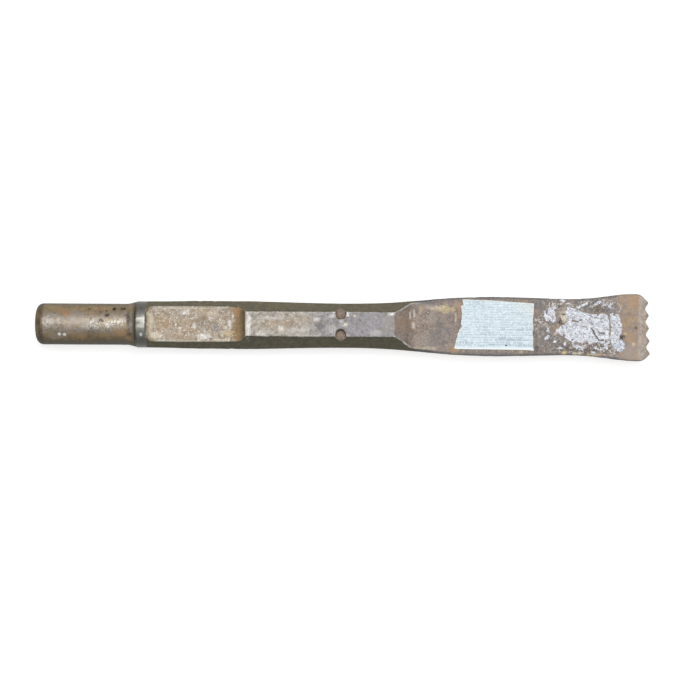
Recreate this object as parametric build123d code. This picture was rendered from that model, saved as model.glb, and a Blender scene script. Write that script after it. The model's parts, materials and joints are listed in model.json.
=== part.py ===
from build123d import *
import math
import os
import random

# Toothed chisel for an electric or pneumatic hammer.
#
# Sizes are in millimetres. Stations run along the tool from the end of its shank, +Y is across
# the blade and +Z is out of the flat that carries the retaining notch. The finished tool is
# moved at the end, so that the origin is under its middle on the surface that it lies on.

# ---- whole tool
LENGTH = 320.0                  # end of the shank to the tips of the teeth
FLATS = 22.0                    # hexagon, across flats
EDGE_WIDTH = 35.0               # blade, at its widest, just behind the teeth
BLADE_LENGTH = 133.15           # root of the blade to the tips of the teeth

# ---- round shank
SHANK_DIAMETER = 21.5
SHANK_LENGTH = 48.4             # up to the start of the flare
SHANK_DOME = 0.7                # rise of the slightly domed end
SHANK_END_ROUND = 3.6           # rounding between the dome and the side, along the shank
FLARE_LENGTH = 3.9              # cone between the shank and the collar
FLARE_DROP = 0.35               # radius that the cone stays below the collar

# ---- collar
COLLAR_RISE = 1.075             # height of the collar above the hexagon's flats
COLLAR_WIDTH = 5.4
COLLAR_EDGE = 0.4               # chamfer on both rims
GROOVE_WIDTH = 0.5              # thin groove between the flare and the collar
GROOVE_DEPTH = 0.45

# ---- hexagon body, seen from above
START_LOSS = 1.4                # how much narrower than the full corners the body starts
SWELL_DISTANCE = 38.0           # collar to the place where the corners are full
WAIST_LOSS = 2.4                # how much narrower than the full corners the waist is
WAIST_DISTANCE = 27.8           # waist back from the root of the blade
ROOT_LOSS = 0.8                 # how much narrower than the full corners the root is

# ---- retaining notch behind the collar
NOTCH_DEPTH = 4.8
NOTCH_LENGTH = 51.5             # collar to the top of the ramp
NOTCH_ROUND = 4.4               # rounding where the collar's face meets the floor
NOTCH_RAMP = 6.6                # run of the hollow ramp at the other end

# ---- two round flat-bottomed pits on the edges of the notched flat
PIT_DIAMETER = 5.5
PIT_DEPTH = 2.9
PIT_FLOOR_ROUND = 0.8
PIT_OFFSET = 5.5                # from the middle of the flat

# ---- blade
SHOULDER_WIDTH = 30.6
SHOULDER_DISTANCE = 45.0        # from the root
NECK_WIDTH = 30.0
EDGE_FLARE = 30.0               # run over which the blade widens towards its edge
ROOT_THICKNESS = 7.8            # at the foot of the scoop
EDGE_THICKNESS = 4.6            # where the bevel starts
TIP_THICKNESS = 1.0
BEVEL_LENGTH = 6.3
SCOOP_START_SLOPE = 34.0        # degrees, where the hexagon starts to fall away to the blade
SCOOP_START_RUN = 5.0
SCOOP_SLOPE = 46.0              # degrees, from there down to the blade
SCOOP_RADIUS = 5.0              # at the foot
SCOOP_KNEE_RADIUS = 4.0         # between the two slopes
SCOOP_LIP_RADIUS = 1.0          # at the end of the hexagon
SPREAD = [(0.0, 0.0), (10.0, 1.4), (16.5, 1.9), (24.0, 3.7), (52.0, 9.0)]
# SPREAD: distance from the root, and how far the slanted faces have moved outwards there

# ---- teeth
TOOTH_COUNT = 5
TOOTH_SLOPE = 35.0              # degrees, flanks between the teeth from the line of the edge
VALLEY_RADIUS = 1.6             # at the bottom between two teeth
TOOTH_SHIFT = 0.35              # the row of teeth sits a little to the -Y side
CORNER_WIDTH = 4.16             # from each side of the blade to the outermost tip
CORNER_ANGLE = 45.0             # degrees, outer flank of the outermost teeth
CORNER_RADIUS = 6.0

# ---- tape and what is left of the old label, on the blade's upper face
TAPE_THICKNESS = 0.25
TAPE_WIDTH = 25.0
TAPE_LENGTH = 41.5
LABEL_THICKNESS = 0.18
LABEL_LENGTH = 43.1
LABEL_MARGIN = 1.75             # from the side of the blade's neck
ROOT_GAP_SHARE = 0.647          # how the rest of the flat is shared: root to tape,
MIDDLE_GAP_SHARE = 0.160        # tape to label, and what is left from label to bevel

# Outlines of the tape and of the label: along the blade as a share of the length, and across
# it as a share of the width.
TAPE_OUTLINE = [
    (0.10, 0.555), (0.115, 0.43), (0.095, 0.39), (0.095, 0.01), (0.05, -0.10), (0.0, -0.475),
    (1.0, -0.50), (0.985, 0.0), (0.995, 0.49),
]
LABEL_OUTLINE = [
    (0.05, 0.46), (0.16, 0.42), (0.19, 0.20), (0.24, 0.38), (0.33, 0.40), (0.54, 0.51),
    (0.47, 0.30), (0.67, 0.26), (0.79, 0.235), (0.82, 0.15), (0.845, 0.255), (0.925, 0.215),
    (0.955, -0.01), (0.96, -0.13), (1.0, -0.41), (0.89, -0.49), (0.73, -0.45), (0.59, -0.375),
    (0.40, -0.305), (0.27, -0.24), (0.15, -0.09), (0.03, 0.075), (0.0, 0.27),
]

# Scraps of the old label: place along it and across it as shares, then length and width in
# millimetres and the turn in degrees.
SCRAPS = [
    (0.22, 0.52, 4.6, 1.5, -12), (0.66, 0.47, 3.8, 1.6, 25), (0.80, 0.40, 3.4, 1.3, -50),
    (0.93, 0.36, 3.0, 1.0, 64), (0.05, -0.20, 2.8, 1.4, 35), (0.05, -0.09, 2.4, 1.1, -20),
    (0.13, -0.29, 2.6, 1.3, 15), (0.20, -0.42, 3.2, 1.4, -8), (0.44, -0.45, 3.8, 1.2, 12),
    (0.60, -0.50, 3.0, 1.1, -18),
]
SCRAP_SIDES = 8
SCRAP_SEED = 4

# ---- worked out from the sizes above
HALF_FLATS = FLATS / 2
HALF_CORNERS = HALF_FLATS / math.cos(math.radians(30))
COLLAR_RADIUS = HALF_FLATS + COLLAR_RISE
SHANK_RADIUS = SHANK_DIAMETER / 2
FLARE_END = SHANK_LENGTH + FLARE_LENGTH
COLLAR_START = FLARE_END + GROOVE_WIDTH
COLLAR_END = COLLAR_START + COLLAR_WIDTH
BAR_START = COLLAR_END - COLLAR_WIDTH / 2       # the hexagon starts inside the collar
ROOT = LENGTH - BLADE_LENGTH
BEVEL_START = LENGTH - BEVEL_LENGTH
HALF_EDGE = EDGE_WIDTH / 2
SCOOP_KNEE = ROOT + SCOOP_START_RUN
SCOOP_KNEE_HEIGHT = HALF_FLATS - SCOOP_START_RUN * math.tan(math.radians(SCOOP_START_SLOPE))
SCOOP_DROP = SCOOP_KNEE_HEIGHT - ROOT_THICKNESS / 2
SCOOP_FOOT = SCOOP_KNEE + SCOOP_DROP / math.tan(math.radians(SCOOP_SLOPE))
TAPER = (ROOT_THICKNESS - EDGE_THICKNESS) / 2 / (BEVEL_START - SCOOP_FOOT)
LABEL_WIDTH = NECK_WIDTH - 2 * LABEL_MARGIN
REACH = max(EDGE_WIDTH, SHOULDER_WIDTH, FLATS)  # farther than any surface is from the axis


def face_height(station):
    """Height of the blade's upper face above the tool's axis."""
    return EDGE_THICKNESS / 2 + (BEVEL_START - station) * TAPER


def turned_shank():
    """Shank, flare, groove and collar, turned about the tool's axis."""
    crown = SHANK_RADIUS - SHANK_END_ROUND
    flare_radius = COLLAR_RADIUS - FLARE_DROP
    groove_radius = flare_radius - GROOVE_DEPTH
    side_start = (SHANK_DOME + SHANK_END_ROUND, SHANK_RADIUS)
    dome = ThreePointArc((0, 0), (SHANK_DOME / 4, crown / 2), (SHANK_DOME, crown))
    shoulder = TangentArc(side_start, (SHANK_DOME, crown), tangent=(-1, 0))
    rest = Polyline(
        side_start,
        (SHANK_LENGTH, SHANK_RADIUS),
        (FLARE_END, flare_radius),
        (FLARE_END, groove_radius),
        (COLLAR_START, groove_radius),
        (COLLAR_START, COLLAR_RADIUS - COLLAR_EDGE),
        (COLLAR_START + COLLAR_EDGE, COLLAR_RADIUS),
        (COLLAR_END - COLLAR_EDGE, COLLAR_RADIUS),
        (COLLAR_END, COLLAR_RADIUS - COLLAR_EDGE),
        (COLLAR_END, 0),
        (0, 0),
    )
    return revolve(make_face([dome, shoulder, rest]), Axis.X)


def long_side():
    """One side of the tool from above, from the collar to the rounded corner of the edge."""
    flare_start = LENGTH - EDGE_FLARE
    shoulder = ROOT + SHOULDER_DISTANCE
    return [
        (BAR_START, HALF_CORNERS - START_LOSS / 2),
        (COLLAR_END + SWELL_DISTANCE, HALF_CORNERS),
        (ROOT - WAIST_DISTANCE, HALF_CORNERS - WAIST_LOSS / 2),
        (ROOT, HALF_CORNERS - ROOT_LOSS / 2),
        (ROOT + SHOULDER_DISTANCE / 2, (HALF_CORNERS * 0.45 + SHOULDER_WIDTH / 2 * 0.55)),
        (shoulder, SHOULDER_WIDTH / 2),
        ((shoulder + flare_start) / 2, NECK_WIDTH / 2),
        (flare_start, NECK_WIDTH / 2 + 0.2),
    ]


def valley(upper, lower):
    """The gap between two teeth from above: two straight flanks and a round bottom."""
    slope = math.radians(TOOTH_SLOPE)
    middle = (upper + lower) / 2
    reach = VALLEY_RADIUS * math.sin(slope)
    foot = LENGTH - ((upper - lower) / 2 - reach) * math.tan(slope)
    bottom = foot - VALLEY_RADIUS * (1 - math.cos(slope))
    return [
        Line((LENGTH, upper), (foot, middle + reach)),
        ThreePointArc((foot, middle + reach), (bottom, middle), (foot, middle - reach)),
        Line((foot, middle - reach), (LENGTH, lower)),
    ]


def plan_outline():
    """The hexagon body and the blade from above, with its teeth."""
    span = EDGE_WIDTH - 2 * CORNER_WIDTH
    pitch = span / (TOOTH_COUNT - 1)
    tips = [span / 2 - index * pitch - TOOTH_SHIFT for index in range(TOOTH_COUNT)]
    trim = CORNER_RADIUS * math.tan(math.radians(CORNER_ANGLE) / 2)
    slope = math.radians(CORNER_ANGLE)
    lines = []
    starts = []
    for side, tip in ((1, tips[0]), (-1, tips[-1])):
        corner = LENGTH - (HALF_EDGE - abs(tip)) / math.tan(slope)
        side_end = (corner - trim, side * HALF_EDGE)
        flank_start = (
            corner + trim * math.cos(slope),
            side * (HALF_EDGE - trim * math.sin(slope)),
        )
        points = [(station, side * width) for station, width in long_side()]
        starts.append(points[0])
        lines.append(Spline(points + [side_end], tangents=[(1, 0), (1, 0)]))
        lines.append(TangentArc(side_end, flank_start, tangent=(1, 0)))
        lines.append(Line(flank_start, (LENGTH, tip)))
    for upper, lower in zip(tips, tips[1:]):
        lines.extend(valley(upper, lower))
    lines.append(Line(starts[0], starts[1]))
    return make_face(lines)


def side_outline():
    """The hexagon body and the blade from the side: scoop, taper and bevel."""
    upper = [
        (BAR_START, HALF_FLATS),
        (ROOT, HALF_FLATS),
        (SCOOP_KNEE, SCOOP_KNEE_HEIGHT),
        (SCOOP_FOOT, ROOT_THICKNESS / 2),
        (BEVEL_START, EDGE_THICKNESS / 2),
        (LENGTH, TIP_THICKNESS / 2),
    ]
    lower = [(station, -height) for station, height in reversed(upper)]
    face = make_face(Polyline(*upper, *lower, close=True))
    bends = [(ROOT, SCOOP_LIP_RADIUS), (SCOOP_KNEE, SCOOP_KNEE_RADIUS), (SCOOP_FOOT, SCOOP_RADIUS)]
    for station, radius in bends:
        corners = [corner for corner in face.vertices() if abs(corner.X - station) < 0.01]
        face = fillet(corners, radius)
    return face


def hexagon_section(station, spread):
    """A hexagon across the tool's axis, with its slanted faces moved outwards by spread."""
    corner = HALF_CORNERS + spread
    flat = corner - HALF_FLATS * math.tan(math.radians(30))
    points = [
        (corner, 0), (flat, HALF_FLATS), (-flat, HALF_FLATS),
        (-corner, 0), (-flat, -HALF_FLATS), (flat, -HALF_FLATS),
    ]
    across = Plane(origin=(station, 0, 0), x_dir=(0, 1, 0), z_dir=(1, 0, 0))
    return across * make_face(Polyline(*points, close=True))


def slanted_faces():
    """The hexagon bar, whose slanted faces open out and run off the sides of the blade."""
    sections = [hexagon_section(BAR_START, 0)]
    for distance, spread in SPREAD:
        sections.append(hexagon_section(ROOT + distance, spread))
    sections.append(hexagon_section(LENGTH + 1, max(HALF_EDGE, SPREAD[-1][1])))
    return loft(sections, ruled=True)


def notch_cutter():
    """The cut across the notched flat: the collar's face, a flat floor and a hollow ramp."""
    floor = HALF_FLATS - NOTCH_DEPTH
    top = HALF_FLATS + COLLAR_RISE
    floor_start = (COLLAR_END + NOTCH_ROUND, floor)
    wall_foot = (COLLAR_END, floor + NOTCH_ROUND)
    ramp_foot = (COLLAR_END + NOTCH_LENGTH - NOTCH_RAMP, floor)
    ramp_end = (COLLAR_END + NOTCH_LENGTH, HALF_FLATS)
    face = make_face([
        TangentArc(floor_start, wall_foot, tangent=(-1, 0)),
        Line(floor_start, ramp_foot),
        TangentArc(ramp_foot, ramp_end, tangent=(1, 0)),
        Polyline(ramp_end, (ramp_end[0], top), (COLLAR_END, top), wall_foot),
    ])
    return extrude(Plane.XZ * face, amount=REACH, both=True)


def pit_cutter(side):
    """The round cutter that sinks one pit, with rounded ends."""
    cutter = Cylinder(PIT_DIAMETER / 2, 2 * PIT_DEPTH)
    cutter = fillet(cutter.edges().filter_by(GeomType.CIRCLE), PIT_FLOOR_ROUND)
    return Pos(ROOT - WAIST_DISTANCE, side * PIT_OFFSET, HALF_FLATS) * cutter


def chisel_forging():
    """The whole steel tool, forged in one piece."""
    seen_above = extrude(plan_outline(), amount=REACH, both=True)
    seen_from_side = extrude(Plane.XZ * side_outline(), amount=REACH, both=True)
    bar = seen_above & seen_from_side & slanted_faces()
    tool = turned_shank() + bar
    tool -= notch_cutter()
    for side in (1, -1):
        tool -= pit_cutter(side)
    return tool


def skin(outline, thickness):
    """A thin layer with the given outline, lying on the blade's upper face."""
    first = min(point[0] for point in outline) - 1
    last = max(point[0] for point in outline) + 1
    band = make_face(Polyline(
        (first, face_height(first)),
        (last, face_height(last)),
        (last, face_height(last) + thickness),
        (first, face_height(first) + thickness),
        close=True,
    ))
    layer = extrude(Plane.XZ * band, amount=REACH, both=True)
    return layer & extrude(make_face(Polyline(*outline, close=True)), amount=REACH)


def flat_places():
    """Where the tape and the old label start on the flat of the blade."""
    run_out = SCOOP_RADIUS * math.tan(math.radians(SCOOP_SLOPE) / 2)
    flat_start = SCOOP_FOOT + run_out
    spare = BEVEL_START - flat_start - TAPE_LENGTH - LABEL_LENGTH
    tape_start = flat_start + spare * ROOT_GAP_SHARE
    label_start = tape_start + TAPE_LENGTH + spare * MIDDLE_GAP_SHARE
    return tape_start, label_start


def tape_strip():
    """The strip of tape across the blade, torn on the root side."""
    start = flat_places()[0]
    outline = [(start + along * TAPE_LENGTH, across * TAPE_WIDTH) for along, across in TAPE_OUTLINE]
    return skin(outline, TAPE_THICKNESS)


def old_label():
    """What is left of the older label, in one torn patch."""
    start = flat_places()[1]
    outline = [(start + along * LABEL_LENGTH, across * LABEL_WIDTH) for along, across in LABEL_OUTLINE]
    return skin(outline, LABEL_THICKNESS)


def label_scraps():
    """Separate scraps of the older label round the patch."""
    start = flat_places()[1]
    draw = random.Random(SCRAP_SEED)
    scraps = []
    for along, across, length, width, turn in SCRAPS:
        outline = []
        for index in range(SCRAP_SIDES):
            angle = 2 * math.pi * index / SCRAP_SIDES
            reach = draw.uniform(0.75, 1.0)
            point = Vector(length / 2 * reach * math.cos(angle), width / 2 * reach * math.sin(angle))
            point = point.rotate(Axis.Z, turn)
            outline.append((start + along * LABEL_LENGTH + point.X, across * LABEL_WIDTH + point.Y))
        scraps.append(skin(outline, LABEL_THICKNESS).solid())
    return Compound(children=scraps)


def main():
    """Build every piece, put the frame's origin under the tool and write one file for each."""
    pieces = {
        "chisel_forging": chisel_forging(),
        "tape_strip": tape_strip(),
        "old_label": old_label(),
        "label_scraps": label_scraps(),
    }
    lowest = pieces["chisel_forging"].bounding_box().min.Z
    place = Pos(-LENGTH / 2, 0, -lowest)
    os.makedirs("parts", exist_ok=True)
    for name, piece in pieces.items():
        export_step(place * piece, f"parts/{name}.step")


main()
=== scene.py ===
import json
import math

import bmesh
import bpy
import numpy as np
from bpy.props import (
    FloatProperty,
    FloatVectorProperty,
    IntProperty,
    PointerProperty,
)
from mathutils import Matrix, Vector
from mathutils.bvhtree import BVHTree


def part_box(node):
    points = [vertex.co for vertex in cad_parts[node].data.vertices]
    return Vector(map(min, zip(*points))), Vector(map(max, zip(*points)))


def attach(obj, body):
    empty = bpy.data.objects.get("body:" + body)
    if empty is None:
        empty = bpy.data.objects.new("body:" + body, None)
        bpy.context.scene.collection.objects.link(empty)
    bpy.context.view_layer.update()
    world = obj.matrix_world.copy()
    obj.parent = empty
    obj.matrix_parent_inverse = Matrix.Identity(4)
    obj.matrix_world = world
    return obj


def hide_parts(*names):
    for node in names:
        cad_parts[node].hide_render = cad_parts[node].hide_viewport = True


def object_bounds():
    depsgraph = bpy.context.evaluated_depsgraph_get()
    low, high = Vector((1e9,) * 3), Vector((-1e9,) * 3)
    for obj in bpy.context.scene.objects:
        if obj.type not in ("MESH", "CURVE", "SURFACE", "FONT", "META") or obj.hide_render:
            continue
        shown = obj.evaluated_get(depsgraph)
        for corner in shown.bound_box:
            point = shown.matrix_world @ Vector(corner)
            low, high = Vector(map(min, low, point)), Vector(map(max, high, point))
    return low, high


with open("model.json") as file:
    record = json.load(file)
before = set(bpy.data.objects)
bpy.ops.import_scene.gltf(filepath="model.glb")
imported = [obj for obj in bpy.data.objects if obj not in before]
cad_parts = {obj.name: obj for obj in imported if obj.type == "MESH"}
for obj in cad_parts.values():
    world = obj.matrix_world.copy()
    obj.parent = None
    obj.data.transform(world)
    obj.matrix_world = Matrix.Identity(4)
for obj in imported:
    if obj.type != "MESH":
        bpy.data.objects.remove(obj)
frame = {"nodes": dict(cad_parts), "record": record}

bl_info = {
    "name": "Worn toothed chisel",
    "version": (1, 0, 0),
    "blender": (4, 5, 0),
    "location": "View3D > Sidebar > Chisel",
    "description": "Builds the visible pieces of a worn toothed hammer chisel round its packed frame",
    "category": "Object",
}

# Places on the tool are in millimetres: along it from the end of the shank, across it from its
# axis, and up from its axis. Lengths that reach the mesh are turned back into metres.
MM = 0.001
CAD_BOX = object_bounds()
TOOL_LOW, TOOL_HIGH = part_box("chisel_forging")
SHANK_MOUNT = next(m for m in frame["record"]["mounts"] if m["name"] == "shank")
AXIS = Vector((TOOL_LOW.x, 0.0, SHANK_MOUNT["pos_m"][2]))
EDGE = (TOOL_HIGH.x - TOOL_LOW.x) / MM

END_RIM = 4.4           # dark rim round the shank's end
COLLAR = 52.8
COLLAR_END = 58.2
COLLAR_RADIUS = 12.075
RAMP = 103.1            # the notch's floor ends
RAMP_END = 109.7
ROOT = EDGE - 133.15    # the hexagon ends
SCOOP_END = EDGE - 122.6
BEVEL = EDGE - 6.3
BEVEL_SKEW = 0.028      # how much the edge leans back for each millimetre across
BARE = BEVEL - 10.2     # the bare band behind the bevel starts about here
PIT = EDGE - 160.95     # the two round pits on the edges of the flat
PIT_ACROSS = 5.5
PIT_WIDTH = 5.6
PIT_DOME = 1.1          # rise of the pits' floors in their middle
MARK_LEAN = math.tan(math.radians(3.3))     # marks are set out along a line that leans this much
SKIN_ROOT = 0.03        # thin pieces reach this far into the steel
FEWEST_FACES = 60       # smaller crumbs of a thin piece are dropped


# ---------------------------------------------------------------- noise and mesh helpers

def lumps(points, size, seed):
    """Smooth noise from -1 to 1 at the points, in lumps about as wide as size."""
    scaled = points / size
    cell = np.floor(scaled).astype(np.int64)
    share = scaled - cell
    share = share * share * (3 - 2 * share)
    total = np.zeros(len(points))
    for corner in np.ndindex(2, 2, 2):
        at = cell + corner
        key = (at[:, 0] * 73856093) ^ (at[:, 1] * 19349663) ^ (at[:, 2] * 83492791)
        key = key ^ (seed * 40503)
        key = (key ^ (key >> 13)) * 1274126177
        key = (key ^ (key >> 16)) & 0xFFFF
        weight = np.prod(np.where(corner, share, 1 - share), axis=1)
        total += weight * (key / 32767.5 - 1)
    return total


def rough_lumps(points, size, seed, octaves=3):
    """Noise with finer lumps laid over coarse ones, from about -1 to 1."""
    total = np.zeros(len(points))
    for octave in range(octaves):
        total += lumps(points, size / 2 ** octave, seed + octave) / 2 ** octave
    return total / 1.5


def ease(values, low, high):
    """0 below low, 1 above high and a smooth step between them."""
    share = np.clip((values - low) / (high - low), 0, 1)
    return share * share * (3 - 2 * share)


def within(values, low, high, soft):
    """1 between low and high, fading over soft on each side."""
    return ease(values, low - soft, low + soft) * (1 - ease(values, high - soft, high + soft))


def vertex_array(mesh, name="co"):
    """Positions or normals of a mesh's vertices, one row each."""
    values = np.zeros(len(mesh.vertices) * 3)
    mesh.vertices.foreach_get(name, values)
    return values.reshape(-1, 3)


def place_vertices(mesh, points):
    """Moves the mesh's vertices to the points."""
    mesh.vertices.foreach_set("co", points.astype(np.float32).ravel())
    mesh.update()


def edge_array(mesh):
    """The two vertices of each edge, one row each."""
    values = np.zeros(len(mesh.edges) * 2, np.int32)
    mesh.edges.foreach_get("vertices", values)
    return values.reshape(-1, 2)


def neighbour_mean(values, edges):
    """The mean of each vertex's neighbours, for one number or a row of numbers each."""
    rows = values.reshape(len(values), -1)
    counts = np.bincount(edges.ravel(), minlength=len(rows))[:, None]
    total = np.zeros_like(rows)
    for column in range(rows.shape[1]):
        total[:, column] = np.bincount(edges[:, 0], rows[edges[:, 1], column], len(rows))
        total[:, column] += np.bincount(edges[:, 1], rows[edges[:, 0], column], len(rows))
    return (total / np.maximum(counts, 1)).reshape(values.shape)


def settle(values, edges, rounds, share):
    """The values smoothed over the mesh."""
    for _ in range(rounds):
        values = values + (neighbour_mean(values, edges) - values) * share
    return values


def store(mesh, name, values):
    """Keeps one number for each vertex in the mesh, for its material."""
    attribute = mesh.attributes.new(name, "FLOAT", "POINT")
    attribute.data.foreach_set("value", values.astype(np.float32))


def tool_places(points):
    """Frame positions in metres turned into millimetres along, across and above the axis."""
    return (points - np.array(AXIS)) / MM


def frame_points(places):
    """The way back: millimetres on the tool turned into frame positions in metres."""
    return places * MM + np.array(AXIS)


def flat_places(along, across):
    """Places along and across as rows with nothing above them, for noise to work on."""
    return np.stack([along, across, np.zeros(len(along))], axis=1)


def through_modifier(mesh, kind, settings):
    """A new mesh: the given one with one modifier applied."""
    helper = bpy.data.objects.new("helper", mesh)
    bpy.context.scene.collection.objects.link(helper)
    modifier = helper.modifiers.new("shape", kind)
    for name, value in settings.items():
        setattr(modifier, name, value)
    seen = helper.evaluated_get(bpy.context.evaluated_depsgraph_get())
    shaped = bpy.data.meshes.new_from_object(seen)
    bpy.data.objects.remove(helper)
    return shaped


def welded(node):
    """A CAD node's surface with its corners joined, to work on."""
    work = bmesh.new()
    work.from_mesh(frame["nodes"][node].data)
    bmesh.ops.remove_doubles(work, verts=work.verts, dist=1e-6)
    return work


def loose_bits(work):
    """The vertices of each separate bit of a mesh that is being worked on."""
    left = set(work.verts)
    bits = []
    while left:
        grown = [left.pop()]
        bit = set(grown)
        while grown:
            for edge in grown.pop().link_edges:
                for other in edge.verts:
                    if other not in bit:
                        bit.add(other)
                        left.discard(other)
                        grown.append(other)
        bits.append(bit)
    return bits


def new_piece(name, mesh, material, nodes):
    """Links a finished piece, gives it its material and hangs it on the frame."""
    piece = bpy.data.objects.new(name, mesh)
    bpy.context.scene.collection.objects.link(piece)
    mesh.materials.clear()
    mesh.materials.append(material)
    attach(piece, "root")
    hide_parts(*nodes)
    return piece


# ---------------------------------------------------------------- shader helpers

class Amount:
    """A number that varies over a surface. Arithmetic on it adds Math nodes."""

    def __init__(self, finish, socket):
        self.finish = finish
        self.socket = socket

    def math(self, operation, first, second, clamp=False):
        return self.finish.amount(
            "ShaderNodeMath",
            {"operation": operation, "use_clamp": clamp},
            {0: first, 1: second},
        )

    def __add__(self, other):
        return self.math("ADD", self, other)

    __radd__ = __add__

    def __sub__(self, other):
        return self.math("SUBTRACT", self, other)

    def __rsub__(self, other):
        return self.math("SUBTRACT", other, self)

    def __neg__(self):
        return 0 - self

    def __mul__(self, other):
        return self.math("MULTIPLY", self, other)

    __rmul__ = __mul__

    def __truediv__(self, other):
        return self.math("DIVIDE", self, other)

    def __pow__(self, other):
        return self.math("POWER", self, other)

    def above(self, other):
        """The larger of the two."""
        return self.math("MAXIMUM", self, other)

    def held(self):
        """The same number, kept between 0 and 1."""
        return self.math("ADD", self, 0.0, clamp=True)

    def size(self):
        """The number without its sign."""
        return self.math("ABSOLUTE", self, 0.0)

    def rise(self, low, high):
        """0 at low, 1 at high and a smooth step between them."""
        return self.finish.amount(
            "ShaderNodeMapRange",
            {"interpolation_type": "SMOOTHSTEP"},
            {"Value": self, "From Min": low, "From Max": high},
        )

    def fall(self, low, high):
        """1 at low, 0 at high and a smooth step between them."""
        return 1 - self.rise(low, high)

    def band(self, low, high, soft):
        """1 between low and high, fading over soft on each side."""
        return self.rise(low - soft, low + soft) * self.fall(high - soft, high + soft)

    def lines(self, thin, wide):
        """1 on the thin curved lines where noise passes its middle value."""
        return (self - 0.5).size().fall(thin, wide)


class Tint:
    """A colour that varies over a surface."""

    def __init__(self, finish, socket):
        self.finish = finish
        self.socket = socket

    def towards(self, other, share):
        """This colour turned into the other one by a share."""
        socket = self.finish.node(
            "ShaderNodeMix",
            {"data_type": "RGBA"},
            {0: share, 6: self, 7: other},
            output=2,
        )
        return Tint(self.finish, socket)

    def times(self, amount):
        """This colour made lighter or darker."""
        socket = self.finish.node(
            "ShaderNodeVectorMath",
            {"operation": "SCALE"},
            {0: self, "Scale": amount},
        )
        return Tint(self.finish, socket)


class Finish:
    """One material, with the surface's place in millimetres on the tool ready to use."""

    def __init__(self, name):
        self.material = bpy.data.materials.new(name)
        self.material.use_nodes = True
        self.tree = self.material.node_tree
        self.tree.nodes.clear()
        place = self.node("ShaderNodeTexCoord", output="Object")
        place = self.vector("SUBTRACT", place, tuple(AXIS))
        self.place = self.vector("MULTIPLY", place, (1 / MM,) * 3)
        self.along, self.across, self.up = [self.part(self.place, axis) for axis in "XYZ"]

    def node(self, kind, settings=None, sockets=None, output=0):
        """Adds a node, sets it up, fills or links its inputs and gives back one output."""
        made = self.tree.nodes.new(kind)
        for name, value in (settings or {}).items():
            setattr(made, name, value)
        for key, value in (sockets or {}).items():
            value = getattr(value, "socket", value)
            if isinstance(value, bpy.types.NodeSocket):
                self.tree.links.new(value, made.inputs[key])
            elif made.inputs[key].type == "RGBA":
                made.inputs[key].default_value = (*value[:3], 1.0)
            else:
                made.inputs[key].default_value = value
        return made.outputs[output] if made.outputs else None

    def amount(self, kind, settings=None, sockets=None, output=0):
        return Amount(self, self.node(kind, settings, sockets, output))

    def vector(self, operation, first, second):
        """Vector Math on two vectors."""
        return self.node("ShaderNodeVectorMath", {"operation": operation}, {0: first, 1: second})

    def part(self, vector, axis):
        """One part of a vector: X, Y or Z."""
        return self.amount("ShaderNodeSeparateXYZ", sockets={0: vector}, output=axis)

    def tint(self, colour):
        """A plain colour to start from."""
        socket = self.node("ShaderNodeMix", {"data_type": "RGBA"}, {0: 0.0, 6: colour}, output=2)
        return Tint(self, socket)

    def stored(self, name):
        """One number kept in the mesh."""
        return self.amount("ShaderNodeAttribute", {"attribute_name": name}, output="Fac")

    def stored_tint(self, name):
        """One colour kept in the mesh."""
        return Tint(self, self.node("ShaderNodeAttribute", {"attribute_name": name}, output="Color"))

    def stretched(self, stretch, shift, turn):
        """The place, moved, turned and squeezed along each axis, for a pattern to lie on."""
        moved = self.vector("ADD", self.place, (shift, shift * 1.7, shift * 0.6))
        if turn:
            moved = self.node(
                "ShaderNodeVectorRotate",
                {"rotation_type": "Z_AXIS"},
                {"Vector": moved, "Angle": turn},
            )
        return self.vector("MULTIPLY", moved, stretch)

    def noise(
        self, size, detail, shift=0.0, stretch=(1.0, 1.0, 1.0), roughness=0.55, warp=0.0, turn=0.0
    ):
        """Cloudy noise from 0 to 1, with clouds about as wide as size."""
        return self.amount(
            "ShaderNodeTexNoise",
            {"noise_dimensions": "3D"},
            {
                "Vector": self.stretched(stretch, shift, turn),
                "Scale": 1 / size,
                "Detail": detail,
                "Roughness": roughness,
                "Distortion": warp,
            },
            output="Fac",
        )

    def cell_edges(self, size, shift):
        """Distance from the edges of cells about as wide as size."""
        return self.amount(
            "ShaderNodeTexVoronoi",
            {"feature": "DISTANCE_TO_EDGE"},
            {"Vector": self.stretched((1.0, 1.0, 1.0), shift, 0.0), "Scale": 1 / size},
            output="Distance",
        )

    def patch(self, along, across, length, width, ragged, ragged_share):
        """1 in an oval patch with a ragged edge, on the face that looks up."""
        far = ((self.along - along) / (length / 2)) ** 2.0
        far = far + ((self.across - across) / (width / 2)) ** 2.0
        far = far + (ragged - 0.5) * (4 * ragged_share)
        return far.fall(0.6, 1.25) * self.up.rise(0.5, 2.0)

    def patches(self, ovals, ragged, ragged_share):
        """1 in any of several patches, each given by its place, length and width."""
        first, *others = [self.patch(*oval, ragged, ragged_share) for oval in ovals]
        for other in others:
            first = first.above(other)
        return first

    def finished(self, colour, roughness, metallic=0.0, height=None, depth=0.05, shine=0.5, glow=0.0):
        """Joins the results into one surface. Height is in shares of depth, in millimetres."""
        sockets = {
            "Base Color": colour,
            "Roughness": roughness,
            "Metallic": metallic,
            "Specular IOR Level": shine,
            "Emission Strength": glow,
            "Emission Color": (1.0, 1.0, 1.0),
        }
        if height is not None:
            bump = {"Strength": 1.0, "Distance": depth * MM, "Height": height}
            sockets["Normal"] = self.node("ShaderNodeBump", {}, bump)
        surface = self.node("ShaderNodeBsdfPrincipled", {}, sockets)
        self.node("ShaderNodeOutputMaterial", {}, {"Surface": surface})
        return self.material


# ---------------------------------------------------------------- steel forging: shape

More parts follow.
